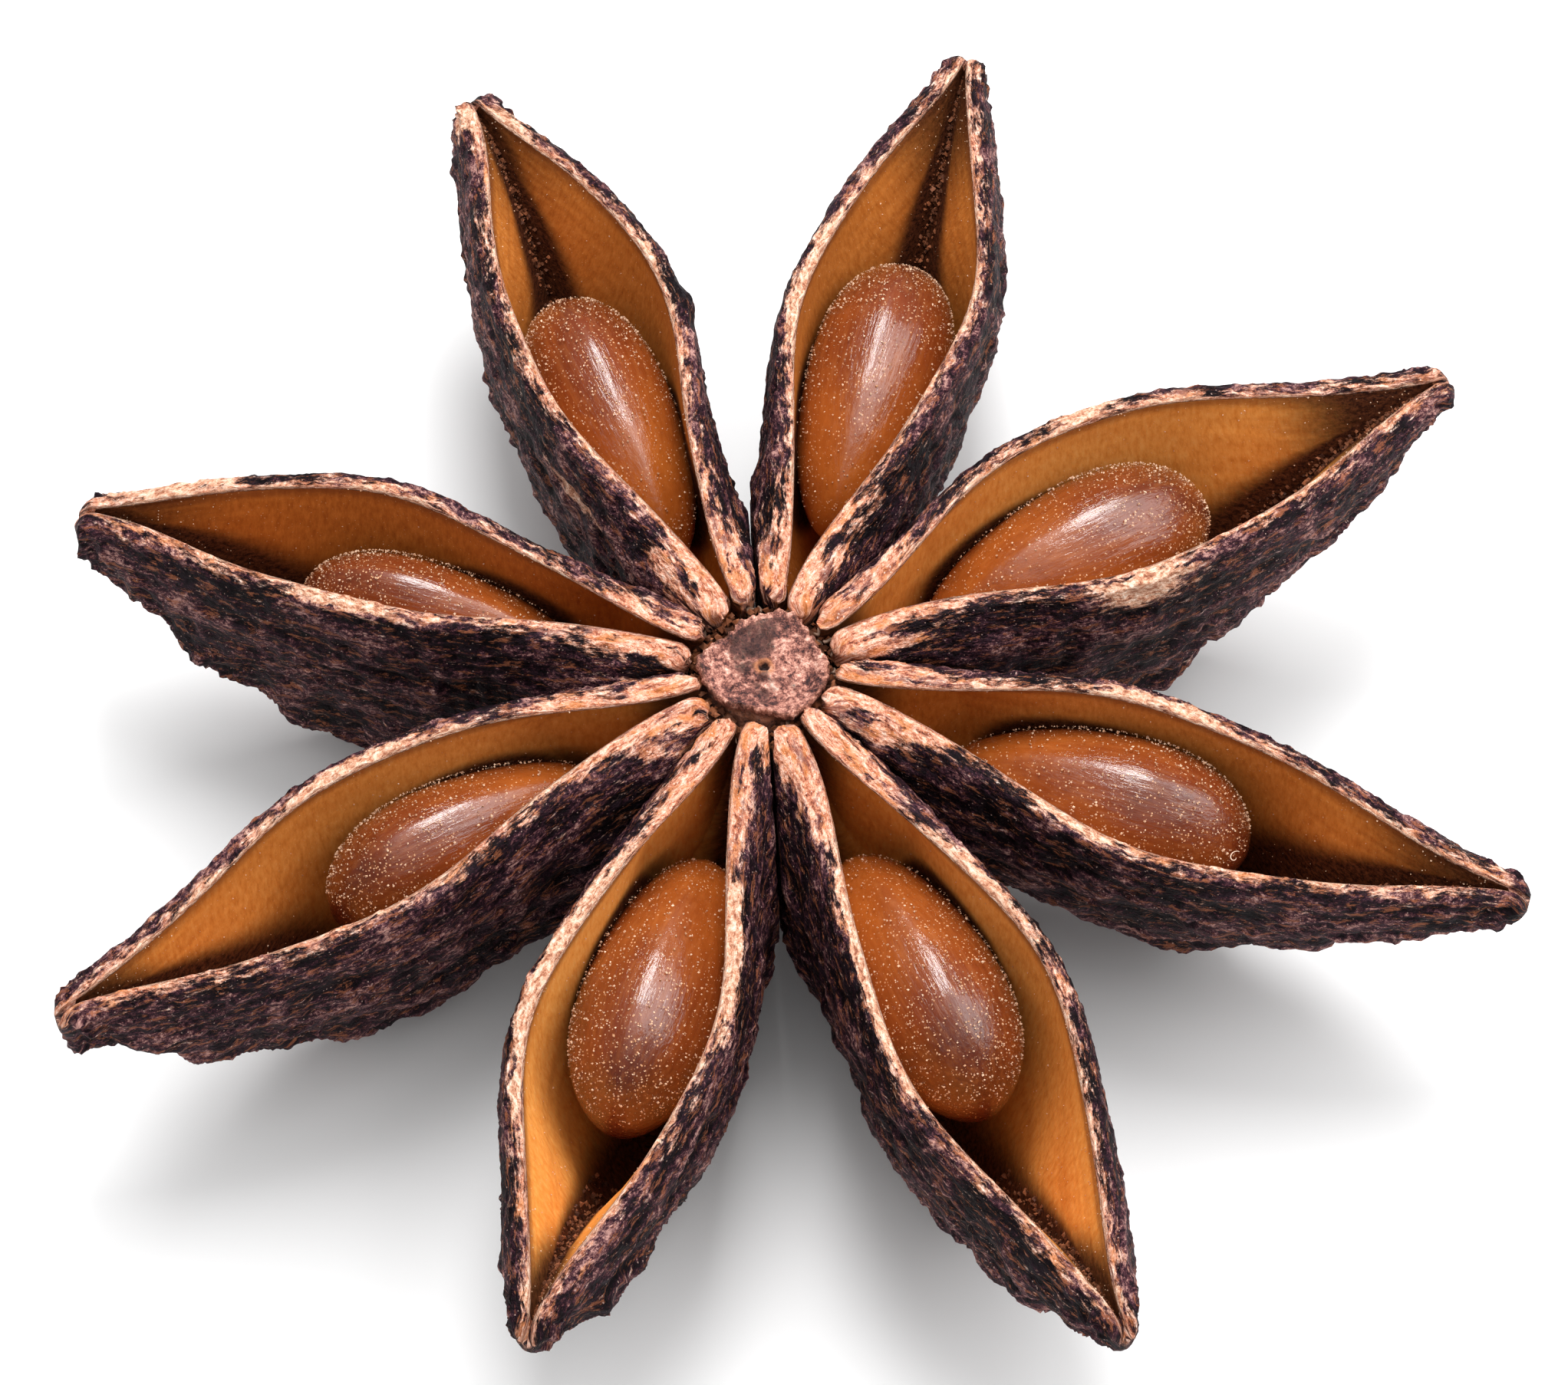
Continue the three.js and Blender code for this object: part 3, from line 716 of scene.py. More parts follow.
def carpel_skin(index):
    """The closed skin of a carpel before its relief, with measures of each point.

    Its columns run from the left lip down and up the outer face, over the right lip,
    down and up through the cavity, and back over the left lip.
    """
    c, seed = CARPELS[index], 1000 + 50 * index
    stations = np.linspace(0, 1, STATIONS)
    t = (stations - CROWDING * np.sin(2 * np.pi * stations) / (2 * np.pi))[:, None]
    i = np.arange(2 * FLANK_STEPS + 1)[None, :]
    side = np.where(i <= FLANK_STEPS, LEFT, RIGHT)
    share = 1 - np.abs(i / FLANK_STEPS - 1)
    outer = carpel_points(index, t, side, False, share)
    cavity = carpel_points(index, t, side, True, share)
    outer, cavity, full = blunt_ends(c, t, outer, cavity)
    right_lip, u = lip_rows(seed, RIGHT, outer[:, -1], cavity[:, -1], full)
    left_lip, _ = lip_rows(seed, LEFT, outer[:, 0], cavity[:, 0], full)

    def joined(outer, right_lip, cavity, left_lip):
        return np.concatenate([outer, right_lip, cavity[:, ::-1], left_lip[:, ::-1]], 1)

    def from_edge(points):
        step = np.linalg.norm(np.diff(points, axis=1), axis=-1)
        run = np.concatenate([np.zeros((STATIONS, 1)), np.cumsum(step, 1)], 1)
        return np.minimum(run, run[:, -1:] - run)

    thickness = np.linalg.norm(outer - cavity, axis=-1)
    left_width, right_width = thickness[:, :1], thickness[:, -1:]
    over_outer = from_edge(outer) + np.where(side > 0, left_width, right_width)
    over = joined(over_outer, right_width * (1 - u), -from_edge(cavity), left_width * (1 - u))
    base = joined(outer, right_lip, cavity, left_lip)
    on_lip = np.ones((1, LIP_STEPS))
    sides = joined(side, RIGHT * on_lip, side, LEFT * on_lip)
    shares = joined(share, 0 * on_lip, share, 0 * on_lip)
    kinds = np.repeat(["outer", "lip", "cavity", "lip"], [i.size, LIP_STEPS, i.size, LIP_STEPS])
    width = np.where(sides > 0, left_width, right_width)
    normal = grid_normals(base)
    if normal[STATIONS // 2, FLANK_STEPS // 2, 1] < 0:
        normal = -normal
    return types.SimpleNamespace(
        index=index, c=c, seed=seed, t=t, base=base, out=base[..., 0], normal=normal,
        sides=sides, shares=shares, is_outer=kinds == "outer", is_cavity=kinds == "cavity",
        over=over,  # distance over from the lip's inner edge, and below 0 in the cavity
        arc=sides * over,  # patterns run along the lips, so they follow this distance
        width=width,  # of the lip
        below=np.clip(over - width, 0, None),  # distance down the outer face
    )


def bark_push(skin):
    """How far the bark's wrinkles, lumps and knobs stand out."""
    seed, out, shares = skin.seed, skin.out, skin.shares
    across, height_at = skin.base[..., 1], skin.base[..., 2]
    wrinkles = mix(*WRINKLE_HEIGHT, smooth(skin.below, 0.2, 1.6)) * smooth(shares, 1.0, 0.93)
    wrinkles = wrinkles * bark_relief(skin.index, out, skin.arc)
    lumps = LUMP_HEIGHT * fractal(seed + 20, 3, out / 1.5, across / 1.1, height_at / 1.1)
    lumps = lumps * smooth(shares, 0.15, 0.6)
    pimples = PIMPLE_HEIGHT * fractal(seed + 30, 3, out / 0.26, across / 0.22, height_at / 0.22)
    pimples = pimples * (1 + 1.6 * smooth(skin.t, 0.9, 0.97))
    push = (wrinkles + lumps + pimples) * smooth(skin.t, 0, 0.03) * smooth(1 - skin.t, 0, 0.02)
    lumpy = 1 + 0.5 * noise(seed + 40, out / 0.35, skin.arc / 0.35)
    for side, at, knob_share, radius, height in KNOBS[skin.index]:
        row = int(np.argmin(np.abs(out[:, 0] - at)))
        here = (skin.sides[0] == side) & skin.is_outer
        column = int(np.argmin(np.abs(shares[0] - knob_share) + 9 * ~here))
        distance2 = ((skin.base - skin.base[row, column]) ** 2).sum(-1)
        push = push + KNOB_SHARE * height * np.exp(-distance2 / (1.5 * radius**2)) * lumpy
    return push


def peel_depth(skin):
    """Above 0 where the bark has come off, up to about 1 in the middle."""
    peel = np.full(skin.out.shape, -1.0)
    torn = 0.35 * fractal(skin.seed + 60, 3, skin.out / 0.5, skin.arc / 0.2)
    for side, at, over_at, half_length, half_breadth in PEELS[skin.index]:
        reach = np.hypot((skin.out - at) / half_length, (skin.over - over_at) / half_breadth)
        peel = np.maximum(peel, np.where(skin.sides == side, 1 - reach + torn, -1))
    return peel


def shaped_points(skin, peel):
    """The skin with its relief, its uneven lip ends and its blunt tip."""
    out, sides, shares = skin.out, skin.sides, skin.shares
    bark = bark_push(skin) - PEEL_DEPTH * smooth(peel, 0.0, 0.35) * (skin.below > 0)
    grain = LINING_GRAIN * fractal(skin.seed + 70, 2, out / 1.5, skin.arc / 0.12)
    push = np.where(skin.is_outer, bark, 0.0) + np.where(skin.is_cavity, grain, 0.0)
    points = skin.base + skin.normal * push[..., None]

    # The lip ends stand at different distances from the column. Only the top of a
    # lip reaches in over the column's neck.
    back = np.where(sides > 0, *LIP_END_BACK[skin.index])
    back = back + 0.1 * fractal(skin.seed + 80, 2, sides * 3.3 + skin.over * 5, shares * 9)
    back = np.where(back < 0, back * smooth(shares, 0.3, 0.05), back)
    near_start = (1 - clamp((out - CARPEL_START) / LIP_END_REACH)) ** 2
    points[..., 0] += clamp(back, *LIP_END_LIMITS) * near_start
    drop = END_DROP * (1 - clamp((out - CARPEL_START) / INNER_DROP_REACH)) ** 2
    tip_drop = END_DROP * (1 - clamp((skin.c["reach"] - out) / TIP_DROP_REACH)) ** 2
    points[..., 2] -= (drop + tip_drop) * smooth(shares, 0.5, 0.0)
    limit = side_limit(skin.index, points[..., 0], sides) + GAP_SHARE
    points[..., 1] = sides * np.minimum(sides * points[..., 1], limit)
    points[..., 2] = np.maximum(points[..., 2], 0)
    return points


def seed_gap(index, points):
    """About how far points in a carpel's frame lie from its seed."""
    seed = SEEDS[index]
    x, y, z = np.moveaxis(points - seed_centre(index), -1, 0)
    level, dip = math.cos(SEED_DIP), math.sin(SEED_DIP)
    along, up = x * level + z * dip, z * level - x * dip
    halves = np.array([seed["length"], seed["breadth"], seed["height"]]) / 2
    swell = np.linalg.norm(np.stack([along, y, up], -1) / halves, axis=-1)
    return (swell - 1) * seed["breadth"] / 2


def carpel_looks(skin, peel):
    """Values per point that tell the husk material what shows there."""
    t, out, over, sides, shares = skin.t, skin.out, skin.over, skin.sides, skin.shares
    # Wood and rim are in mm, and show where they are above 0.
    near_column = smooth(out, 5.4, 1.6)
    ends = smooth(t, 0.955, 0.985)
    streaky = fractal(skin.seed + 90, 4, out / 0.8, skin.arc / 0.2)
    wood = skin.width * 0.32 + 0.62 * near_column - over
    wood = wood + (0.15 + 0.5 * near_column) * streaky
    wood = np.maximum(wood, peel * 0.3) + ends * (0.3 * streaky - 0.16)
    rim = 0.05 + 0.09 * fractal(skin.seed + 95, 4, out / 0.6, sides * 1.0)
    rim = np.maximum(rim - 0.3 * near_column - over, peel * 0.25) - 0.2 * ends
    grown_together = (t > TIP_CLOSED) & (over < 0)
    wood = np.where(grown_together, 0.02, wood)
    rim = np.where(grown_together, -0.2, rim)
    over = np.where(grown_together, 0.1, over)

    # Painted shade in the cavity: low on the walls, past the seed, at the tip, close to the seed and
    # at the inner end.
    gloom = GLOOM_FROM[skin.index]
    beside_seed = smooth(shares, 0.35, 0.98)
    past_seed = smooth(shares, gloom, gloom + GLOOM_FADE)
    glooms = (
        mix(beside_seed, past_seed, smooth(t, 0.45, 0.65)),
        END_GLOOM * smooth(t + 0.16 * shares, 0.8, 1.0),
        TIP_GLOOM[skin.index] * smooth(t, *TIP_GLOOM_RISE),
        SEED_SHADE * smooth(seed_gap(skin.index, skin.base), *SEED_SHADE_GAP),
        END_GLOOM * smooth(t, 0.14, 0.02),
    )
    cavity_shade = skin.is_cavity * functools.reduce(np.maximum, glooms)
    place = np.stack([out, skin.arc, 13.0 * skin.index + 3 * skin.is_cavity + 0 * out], -1)
    looks = {
        "place": place, "relief": bark_relief(skin.index, out, skin.arc), "wood": wood,
        "rim": rim, "over": over, "cavity_shade": cavity_shade, "tone_and_light": LINING_TONE_AND_LIGHT[skin.index] + 0 * out,
    }
    return {name: values.reshape(out.size, -1).squeeze() for name, values in looks.items()}


def carpel_faces():
    """Quads over the skin, and strips that close its two ends."""
    n_outer = 2 * FLANK_STEPS + 1
    size = 2 * (n_outer + LIP_STEPS)
    flat = np.arange(STATIONS * size).reshape(STATIONS, size)
    faces = grid_faces(STATIONS, size)[:, ::-1].tolist()
    for row, turn in ((flat[0], 1), (flat[-1], -1)):
        outer = row[:n_outer]
        inner = row[n_outer + LIP_STEPS : 2 * n_outer + LIP_STEPS][::-1]
        strip = np.stack([outer[:-1], outer[1:], inner[1:], inner[:-1]], -1).tolist()
        strip.append([outer[-1], *row[n_outer : n_outer + LIP_STEPS], inner[-1]])
        strip.append([inner[0], *row[2 * n_outer + LIP_STEPS :], outer[0]])
        faces += [face[::turn] for face in strip]
    return faces


def carpel_map(base):
    """Corner places for carpel_faces: the skin above, the end strips along the foot."""
    ring = base[STATIONS // 2]
    loop = np.linalg.norm(np.diff(ring, axis=0, append=ring[:1]), axis=-1)
    across = np.concatenate([[0], np.cumsum(loop)]) / loop.sum()
    up = np.linspace(0.03, 1.0, STATIONS)
    row, i = np.meshgrid(np.arange(STATIONS - 1), np.arange(len(loop)), indexing="ij")
    u, v = across[np.stack([i, i + 1, i + 1, i], -1)], up[np.stack([row + 1, row + 1, row, row], -1)]
    places = [np.stack([u, v], -1).reshape(-1, 2)]
    # Each end strip has half of the foot, and the ends of its two lips are small rounds.
    for start, turn in ((0.0, 1), (0.5, -1)):
        x = start + np.linspace(0, 0.48, 2 * FLANK_STEPS + 1)
        low, high = np.full(x.size - 1, 0.002), np.full(x.size - 1, 0.022)
        corners = [(x[:-1], low), (x[1:], low), (x[1:], high), (x[:-1], high)]
        strip = np.stack([np.stack(corner, -1) for corner in corners], 1)
        places.append(strip[:, ::turn].reshape(-1, 2))
        round_about = 2 * np.pi * np.arange(LIP_STEPS + 2) / (LIP_STEPS + 2)
        spot = 0.004 * np.stack([np.cos(round_about), np.sin(round_about)], -1)
        places += [(spot + [start + x, 0.012])[::turn] for x in (0.485, 0.494)]
    return np.concatenate(places).astype(np.float32)


def carpel_piece(index, material):
    """The whole carpel: outer face, lips and cavity in one closed skin."""
    skin = carpel_skin(index)
    peel = peel_depth(skin)
    skin.points = shaped_points(skin, peel)
    world = turned(skin.points.reshape(-1, 3), skin.c["heading"])
    looks = carpel_looks(skin, peel)
    piece = make_piece(f"husk_{index + 1}", world, carpel_faces(), material, looks)
    # A map of its own lays the skin out flat for patterns baked onto it.
    layer = piece.data.uv_layers.new(name="OFBake")
    layer.uv.foreach_set("vector", carpel_map(skin.base).ravel())
    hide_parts(f"carpel_{index + 1}")
    return skin


# --- seeds
def seed_centre(index):
    """Middle of a seed in its carpel's frame."""
    seed, c = SEEDS[index], CARPELS[index]
    t = (seed["out"] - CARPEL_START) / (c["reach"] - CARPEL_START)
    left = float(slit_middle(c, t)) + seed["left"]
    return np.array([seed["out"], left, float(lip_height(t)) - seed["sunk"]])


def seed_point(index, along, angle):
    """Point on a seed in its carpel's frame; along is -1 at the inner end."""
    seed = SEEDS[index]
    girth = np.sqrt(1 - np.abs(along) ** SEED_FULLNESS) * (1 + SEED_BLUNTNESS * along)
    wedge = 1 + SEED_WEDGE * np.sin(angle)
    x = along * seed["length"] / 2
    y = girth * wedge * np.cos(angle) * seed["breadth"] / 2
    z = girth * np.sin(angle) * seed["height"] / 2
    level, dip = math.cos(SEED_DIP), math.sin(SEED_DIP)
    return seed_centre(index) + np.stack([x * level - z * dip, y, x * dip + z * level], -1)


def seed_piece(index, material):
    """One egg-shaped seed with a ridge along its top and a faint uneven skin."""
    along = -np.cos(np.pi * np.arange(1, SEED_RINGS + 1)[:, None] / (SEED_RINGS + 1))
    angle = 2 * np.pi * np.arange(SEED_SIDES)[None, :] / SEED_SIDES
    points = seed_point(index, along, angle)
    centre = points.mean(1, keepdims=True)
    around = 2.2 * np.cos(angle), 2.2 * np.sin(angle)
    uneven = SEED_UNEVENNESS * fractal(300 + index, 3, along * 2.5 + 9, *around)
    off_ridge = np.hypot((angle - np.pi / 2 + np.pi) % (2 * np.pi) - np.pi, SEED_RIDGE_ROUND)
    fade = np.exp(-((off_ridge / SEED_RIDGE_REACH) ** 2))
    ridge = SEED_RIDGE * (SEED_RIDGE_ROUND - off_ridge * fade)
    points = centre + (points - centre) * (1 + uneven + ridge)[..., None]
    tips = seed_point(index, np.array([-1.0, 1.0]), np.zeros(2))
    points = np.concatenate([points.reshape(-1, 3), tips])
    looks = {
        "place": points + [17.0 * index, 0, 0],
        "end": np.append(np.repeat(along, SEED_SIDES), [-1, 1]) / 2 + 0.5,
        "rise": np.append(np.tile(np.sin(angle), SEED_RINGS), [0, 0]),
    }
    faces = [face[::-1] for face in capped_faces(SEED_RINGS, SEED_SIDES)]
    world = turned(points, CARPELS[index]["heading"])
    piece = make_piece(f"kernel_{index + 1}", world, faces, material, looks)
    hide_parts(f"seed_{index + 1}")


# --- column
def disc_radius(angle):
    """Torn outline of the disc, between its corners, for angles in radians."""
    at, r = np.transpose(sorted((a % 360, r) for a, r in DISC_CORNERS))
    return np.interp(np.degrees(angle) % 360, at, r, period=360)


def column_flat(angle):
    """Distance from the axis to sides that face the carpels."""
    facing = [np.cos(angle - math.radians(c["heading"])) for c in CARPELS]
    return np.minimum.reduce([COLUMN_FLAT / np.maximum(towards, 0.2) for towards in facing])


def column_rings(angle, edge):
    """Rings from the scar to the middle of the disc: radius, height, dark (painted shade), warm."""
    rings = [(SCAR_RADIUS * 0.5, 0.0, 0.3, 0.0), (SCAR_RADIUS * 0.95, 0.0, 0.3, 0.0)]
    for z in np.linspace(0.05, FOOT_HEIGHT, 12):
        rings.append((mix(SCAR_RADIUS, FOOT_RADIUS, smooth(z, 0, FOOT_HEIGHT)), z, 0.5, 0.1))
    sides = np.minimum(column_flat(angle), CARPEL_START)
    for z in np.linspace(1.5, 6.1, 26):
        rings.append((sides * smooth(z, -2.0, 2.2), z, 0.85, 0.2))
    rings += NECK_RINGS
    torn = fractal(501, 3, angle * 9, angle * 0)
    for share, z, dark in DISC_EDGE_RINGS:
        rings.append((edge * (share + 0.035 * torn), z + 0.02 * torn, dark, 0.15))
    for share in np.linspace(0.92, 0.03, 40):
        r = edge * share
        dish = -0.13 * smooth(share, 0.97, 0.7) + 0.05 * smooth(share, 0.35, 0.2)
        pit = -0.14 * smooth(r, 0.12, 0.07)
        rim = 0.05 * np.exp(-((r - 0.17) ** 2) / 0.003)
        warm = 0.9 * math.exp(-((share * 1.3 - 0.16) ** 2) / 0.003)
        # Painted shade fills the pit.
        rings.append((r, DISC_HEIGHT + dish + pit + rim, 0.95 * float(share < 0.085), warm))
    return rings


def column_piece(material):
    """Woody column with a scar below, a neck, and a torn disc on top."""
    angle = 2 * np.pi * np.arange(COLUMN_SIDES) / COLUMN_SIDES
    edge = disc_radius(angle)
    rings = [np.broadcast_arrays(*ring, angle)[:4] for ring in column_rings(angle, edge)]
    radius, z, dark, warm = np.array(rings).transpose(1, 0, 2)
    x, y = radius * np.cos(angle), radius * np.sin(angle)
    rough = COLUMN_ROUGHNESS * fractal(520, 5, x / 0.32, y / 0.32, z / 0.5)
    on_top = z > TOP_FROM
    inward = np.where(on_top, 0, -np.abs(rough) * 1.3) * (z > 0.04)
    shrink = 1 + inward / np.maximum(np.hypot(x, y), 1e-6)
    x, y = x * shrink, y * shrink
    z = z + np.where(on_top & (z > TOP_FROM + 0.04), rough - 0.02, 0)
    about_pit = np.exp(-(x**2 + (y - 0.15) ** 2) / 0.3)
    patches = fractal(530, 3, x / 0.45, y / 0.45) + 0.5 * y - 0.2 * x + 0.5 * about_pit
    inside = on_top & (np.hypot(x, y) < 0.88 * edge)
    dark = np.maximum(dark, 0.76 * smooth(patches, 0.0, 0.9) * inside)
    points = np.concatenate([np.stack([x, y, z], -1).reshape(-1, 3), COLUMN_ENDS])
    looks = {"place": points, "dark": np.append(dark, [0.3, 1.0]), "warm": np.append(warm, [0, 0])}
    faces = capped_faces(len(rings), COLUMN_SIDES)
    piece = make_piece("woody_column", points, faces, material, looks)
    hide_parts("core")


# --- dust, crumbs and fibres
DUST_PER_SEED, DUST_PER_LINING = 2300, 650
CRUMBS_BEYOND_SEED, CRUMBS_INSIDE_SEED, CRUMBS_ROUND_DISC = 620, 140, 460
SEED_DUST_SIZE, LINING_DUST_SIZE, CRUMB_SIZE = 0.03, 0.024, 0.075  # the largest
FIBRES, FIBRE_STEPS, FIBRE_SIDES = 28, 12, 6
OCTAHEDRON_CORNERS = np.stack([np.eye(3), -np.eye(3)], 1).reshape(6, 3)
OCTAHEDRON_FACES = np.array(
    [(0, 2, 4), (2, 1, 4), (1, 3, 4), (3, 0, 4), (2, 0, 5), (1, 2, 5), (3, 1, 5), (0, 3, 5)]
)


def lumps_piece(name, material, centres, sizes, seed):
    """Uneven eight-sided lumps, one per centre, as one joined mesh."""
    centres, sizes = np.concatenate(centres), np.concatenate(sizes)
    random = np.random.default_rng(seed)
    n = len(centres)
    lump = random.uniform(0.6, 1.3, (n, 6, 1)) * OCTAHEDRON_CORNERS
    lump = lump + random.uniform(-0.25, 0.25, (n, 6, 3))
    points = (centres[:, None] + lump * sizes[:, None, None]).reshape(-1, 3)
    faces = (OCTAHEDRON_FACES + 6 * np.arange(n)[:, None, None]).reshape(-1, 3)
    looks = {"place": points, "shade": np.repeat(random.uniform(0, 1, n), 6)}
    make_piece(name, points, faces, material, looks, smooth_shade=False)


def cavity_spots(husk, rows, allowed, lift, random):
    """A place in each of the cavity's rows, at an allowed column, off the wall."""
    columns = random.choice(np.flatnonzero(husk.is_cavity & allowed), len(rows))
    spots = husk.points[rows, columns] + lift * husk.normal[rows, columns]
    return turned(spots, husk.c["heading"])


def dust_piece(material, husks):
    """Pale powder on the seeds and linings."""
    random = np.random.default_rng(77)
    centres, sizes = [], []
    for husk in husks:
        tries = 3 * DUST_PER_SEED
        along = random.uniform(-0.95, 0.995, tries)
        angle = random.uniform(0.1, np.pi - 0.1, tries)
        keep = random.uniform(0, 1.5, tries) < 0.3 + 0.8 * smooth(along, -0.6, 0.95)
        along, angle = along[keep][:DUST_PER_SEED], angle[keep][:DUST_PER_SEED]
        centres.append(turned(seed_point(husk.index, along, angle), husk.c["heading"]))
        sizes.append(random.uniform(0.35, 1.0, len(along)) ** 3 * SEED_DUST_SIZE)
        rows = random.integers(12, STATIONS - 14, DUST_PER_LINING)
        centres.append(cavity_spots(husk, rows, husk.shares[0] < 0.7, 0.006, random))
        sizes.append(random.uniform(0.3, 1.0, len(rows)) ** 3 * LINING_DUST_SIZE)
    lumps_piece("dust", material, centres, sizes, 78)


def crumbs_piece(material, husks):
    """Brown crumbs along the cavity floors and in the crack round the column."""
    random = np.random.default_rng(90)
    centres, sizes = [], []
    for husk in husks:
        beyond_seed = random.integers(int(0.6 * STATIONS), STATIONS - 8, CRUMBS_BEYOND_SEED)
        inside_seed = random.integers(8, int(0.22 * STATIONS), CRUMBS_INSIDE_SEED)
        rows = np.concatenate([beyond_seed, inside_seed])
        centres.append(cavity_spots(husk, rows, husk.shares[0] > 0.75, 0.02, random))
        sizes.append(random.uniform(0.3, 1.0, len(rows)) ** 3 * CRUMB_SIZE)
    for _ in range(CRUMBS_ROUND_DISC):
        angle = random.uniform(0, 2 * np.pi)
        r = random.uniform(1.3, 1.62)
        centres.append([[r * math.cos(angle), r * math.sin(angle), random.uniform(6.1, 6.62)]])
        sizes.append([random.uniform(0.03, 0.13)])
    lumps_piece("crumbs", material, centres, sizes, 91)


def tube_points(path, radius):
    """Points of a tube along a path that tapers at both ends."""
    direction = np.gradient(path, axis=0)
    direction /= np.linalg.norm(direction, axis=1, keepdims=True)
    first = np.cross(direction, [0.31, 0.17, 0.93])
    first /= np.linalg.norm(first, axis=1, keepdims=True)
    second = np.cross(direction, first)
    turn = (2 * np.pi * np.arange(FIBRE_SIDES) / FIBRE_SIDES)[None, :, None]
    taper = radius * np.sqrt(np.sin(np.linspace(0.12, np.pi - 0.12, len(path))))
    ring = np.cos(turn) * first[:, None] + np.sin(turn) * second[:, None]
    return (path[:, None] + taper[:, None, None] * ring).reshape(-1, 3)


def fibres_piece(material):
    """Torn fibres round the disc, and one curled pale hair on the fourth carpel."""
    random = np.random.default_rng(44)
    s = np.linspace(0, 1, FIBRE_STEPS)
    bow = np.sin(np.pi * s)
    tubes, tones = [], []
    for _ in range(FIBRES):
        angle = random.uniform(0, 2 * np.pi)
        r = random.uniform(1.35, 1.7)
        length = random.uniform(0.15, 0.4)
        turn = angle + random.uniform(-0.9, 0.9)
        bend = random.uniform(-0.12, 0.12, 2)
        z = random.uniform(6.1, 6.7)
        x = r * math.cos(angle) + length * (s - 0.5) * math.cos(turn) + bend[0] * bow
        y = r * math.sin(angle) + length * (s - 0.5) * math.sin(turn) + bend[1] * bow
        path = np.stack([x, y, z + 0.18 * length * np.sin(3 * s + angle)], -1)
        tubes.append(tube_points(path, random.uniform(0.015, 0.05)))
        tones.append(random.uniform(0, 0.55))
    curl = 1.6 * np.pi * s
    hair = [10.75 + 0.09 * np.cos(curl) + 0.1 * s, -1.45 - 0.1 * np.sin(curl), 6.84 + 0.12 * s]
    tubes.append(tube_points(turned(np.stack(hair, -1), CARPELS[3]["heading"]), 0.014))
    tones.append(1.0)

    size = FIBRE_STEPS * FIBRE_SIDES
    tube = [face[::-1] for face in grid_faces(FIBRE_STEPS, FIBRE_SIDES).tolist()]
    tube += [list(range(FIBRE_SIDES)), list(range(size - FIBRE_SIDES, size))[::-1]]
    faces = [[k + size * n for k in face] for n in range(len(tubes)) for face in tube]
    points = np.concatenate(tubes)
    looks = {"place": points, "shade": np.repeat(tones, size)}
    make_piece("fibres", points, faces, material, looks)


# --- studio and camera
CAMERA_TARGET = (0.0, 0.0, 7.0)
CAMERA_ELEVATION = 60
CAMERA_DISTANCE = 150.0
CAMERA_OFFSET = (0.424, -0.636)  # to the right and up, so that the pod sits as framed
CAMERA_LENS, SENSOR = 161.95, 36.0
FLOOR_REACH, FLOOR_GAP = 600.0, 0.02
ROOM_GLOW = (0.55, 0.12)  # as light, and as mirrored
LIGHT_AIM = 5  # height that the softboxes face
# Softboxes: azimuth, elevation, distance, size and power.
SOFTBOXES = {
    "key": (180, 64, 130, (50, 84), 0.14),
    "key_halo": (180, 76, 150, (170, 150), 0.06),
    "window_right": (95, 48, 130, (110, 110), 0.08),
    "window_front": (10, 70, 150, (120, 120), 0.02),
}


def facing_from(azimuth, elevation):
    """Unit vector from the pod. Azimuth 0 is the camera's side."""
    a, e = math.radians(azimuth), math.radians(elevation)
    return np.array([math.sin(a) * math.cos(e), -math.cos(a) * math.cos(e), math.sin(e)])


def make_camera():
    data = bpy.data.cameras.new("camera")
    data.lens, data.sensor_width = CAMERA_LENS, SENSOR
    data.clip_start, data.clip_end = 0.001, 20
    camera = add_object("camera", data)
    right, back = np.array([1.0, 0, 0]), facing_from(0, CAMERA_ELEVATION)
    place = np.array(CAMERA_TARGET) + back * CAMERA_DISTANCE
    place = place + right * CAMERA_OFFSET[0] + np.cross(back, right) * CAMERA_OFFSET[1]
    camera.location = tuple(place * MM)
    camera.rotation_euler = (math.radians(90 - CAMERA_ELEVATION), 0, 0)
    bpy.context.scene.camera = camera


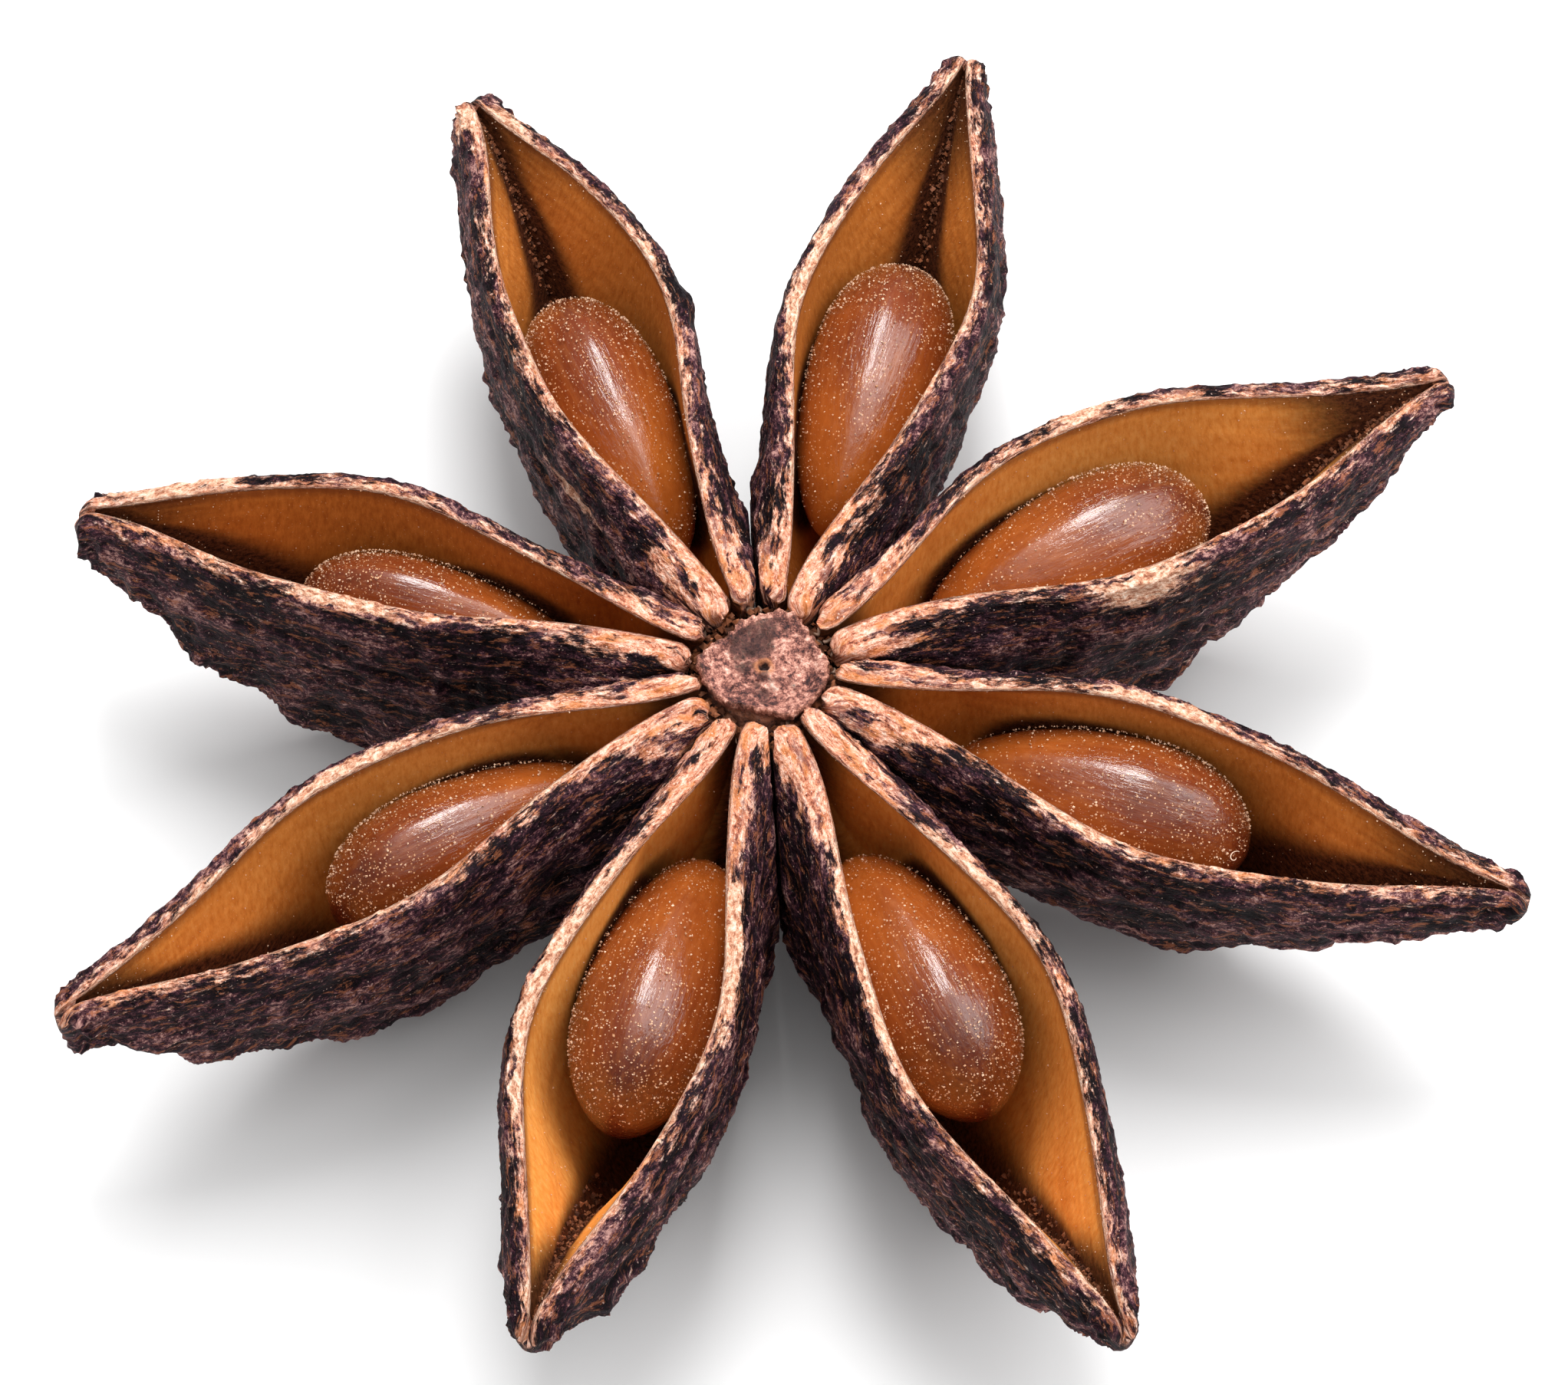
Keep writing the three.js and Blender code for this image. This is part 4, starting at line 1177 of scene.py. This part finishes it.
def area_light(name, azimuth, elevation, distance, size, power):
    """A softbox that faces the pod."""
    data = bpy.data.lights.new(name, "AREA")
    data.shape = "RECTANGLE"
    data.size, data.size_y = size[0] * MM, size[1] * MM
    data.energy = power
    lamp = add_object(name, data)
    back = facing_from(azimuth, elevation)
    lamp.location = Vector(back * distance * MM) + Vector((0, 0, LIGHT_AIM * MM))
    lamp.rotation_mode = "QUATERNION"
    lamp.rotation_quaternion = Vector(-back).to_track_quat("-Z", "Y")


def make_floor():
    s = Shader("floor")
    haze = s.grain((0.05, 0.05, 0.05), 2)
    s.put("Base Color", s.ramp(haze, (0.3, (0.93, 0.93, 0.93)), (0.7, (0.95, 0.95, 0.95))))
    s.put("Roughness", 0.9)
    corners = np.array([(-1, -1, 0), (1, -1, 0), (1, 1, 0), (-1, 1, 0)]) * FLOOR_REACH
    floor = add_mesh("floor", corners, [(0, 1, 2, 3)], s.material, {"place": corners}, False)
    floor.location.z = -FLOOR_GAP * MM


def make_studio():
    world = bpy.data.worlds.new("studio")
    world.use_nodes = True
    nodes, links = world.node_tree.nodes, world.node_tree.links
    glow = nodes["Background"]
    glow.inputs["Color"].default_value = (1, 1, 1, 1)
    # Polish mirrors a dimmer room, as between the softboxes of a studio.
    path, dim = nodes.new("ShaderNodeLightPath"), nodes.new("ShaderNodeMapRange")
    dim.inputs["To Min"].default_value, dim.inputs["To Max"].default_value = ROOM_GLOW
    links.new(path.outputs["Is Glossy Ray"], dim.inputs["Value"])
    links.new(dim.outputs["Result"], glow.inputs["Strength"])
    bpy.context.scene.world = world
    bpy.context.scene.view_settings.view_transform = "Standard"
    for name, setting in SOFTBOXES.items():
        area_light(name, *setting)


make_camera()
make_floor()
make_studio()
husk, coat = husk_material(), seed_material()
husks = [carpel_piece(index, husk) for index in range(len(CARPELS))]
for index in range(len(SEEDS)):
    seed_piece(index, coat)
column_piece(pith_material())
dust_piece(grit_material("dust", (0.55, 0.27, 0.13), (0.95, 0.7, 0.5)), husks)
crumbs_piece(grit_material("crumbs", (0.035, 0.01, 0.005), (0.42, 0.14, 0.055)), husks)
fibres_piece(grit_material("fibres", (0.1, 0.035, 0.015), (0.75, 0.52, 0.38)))
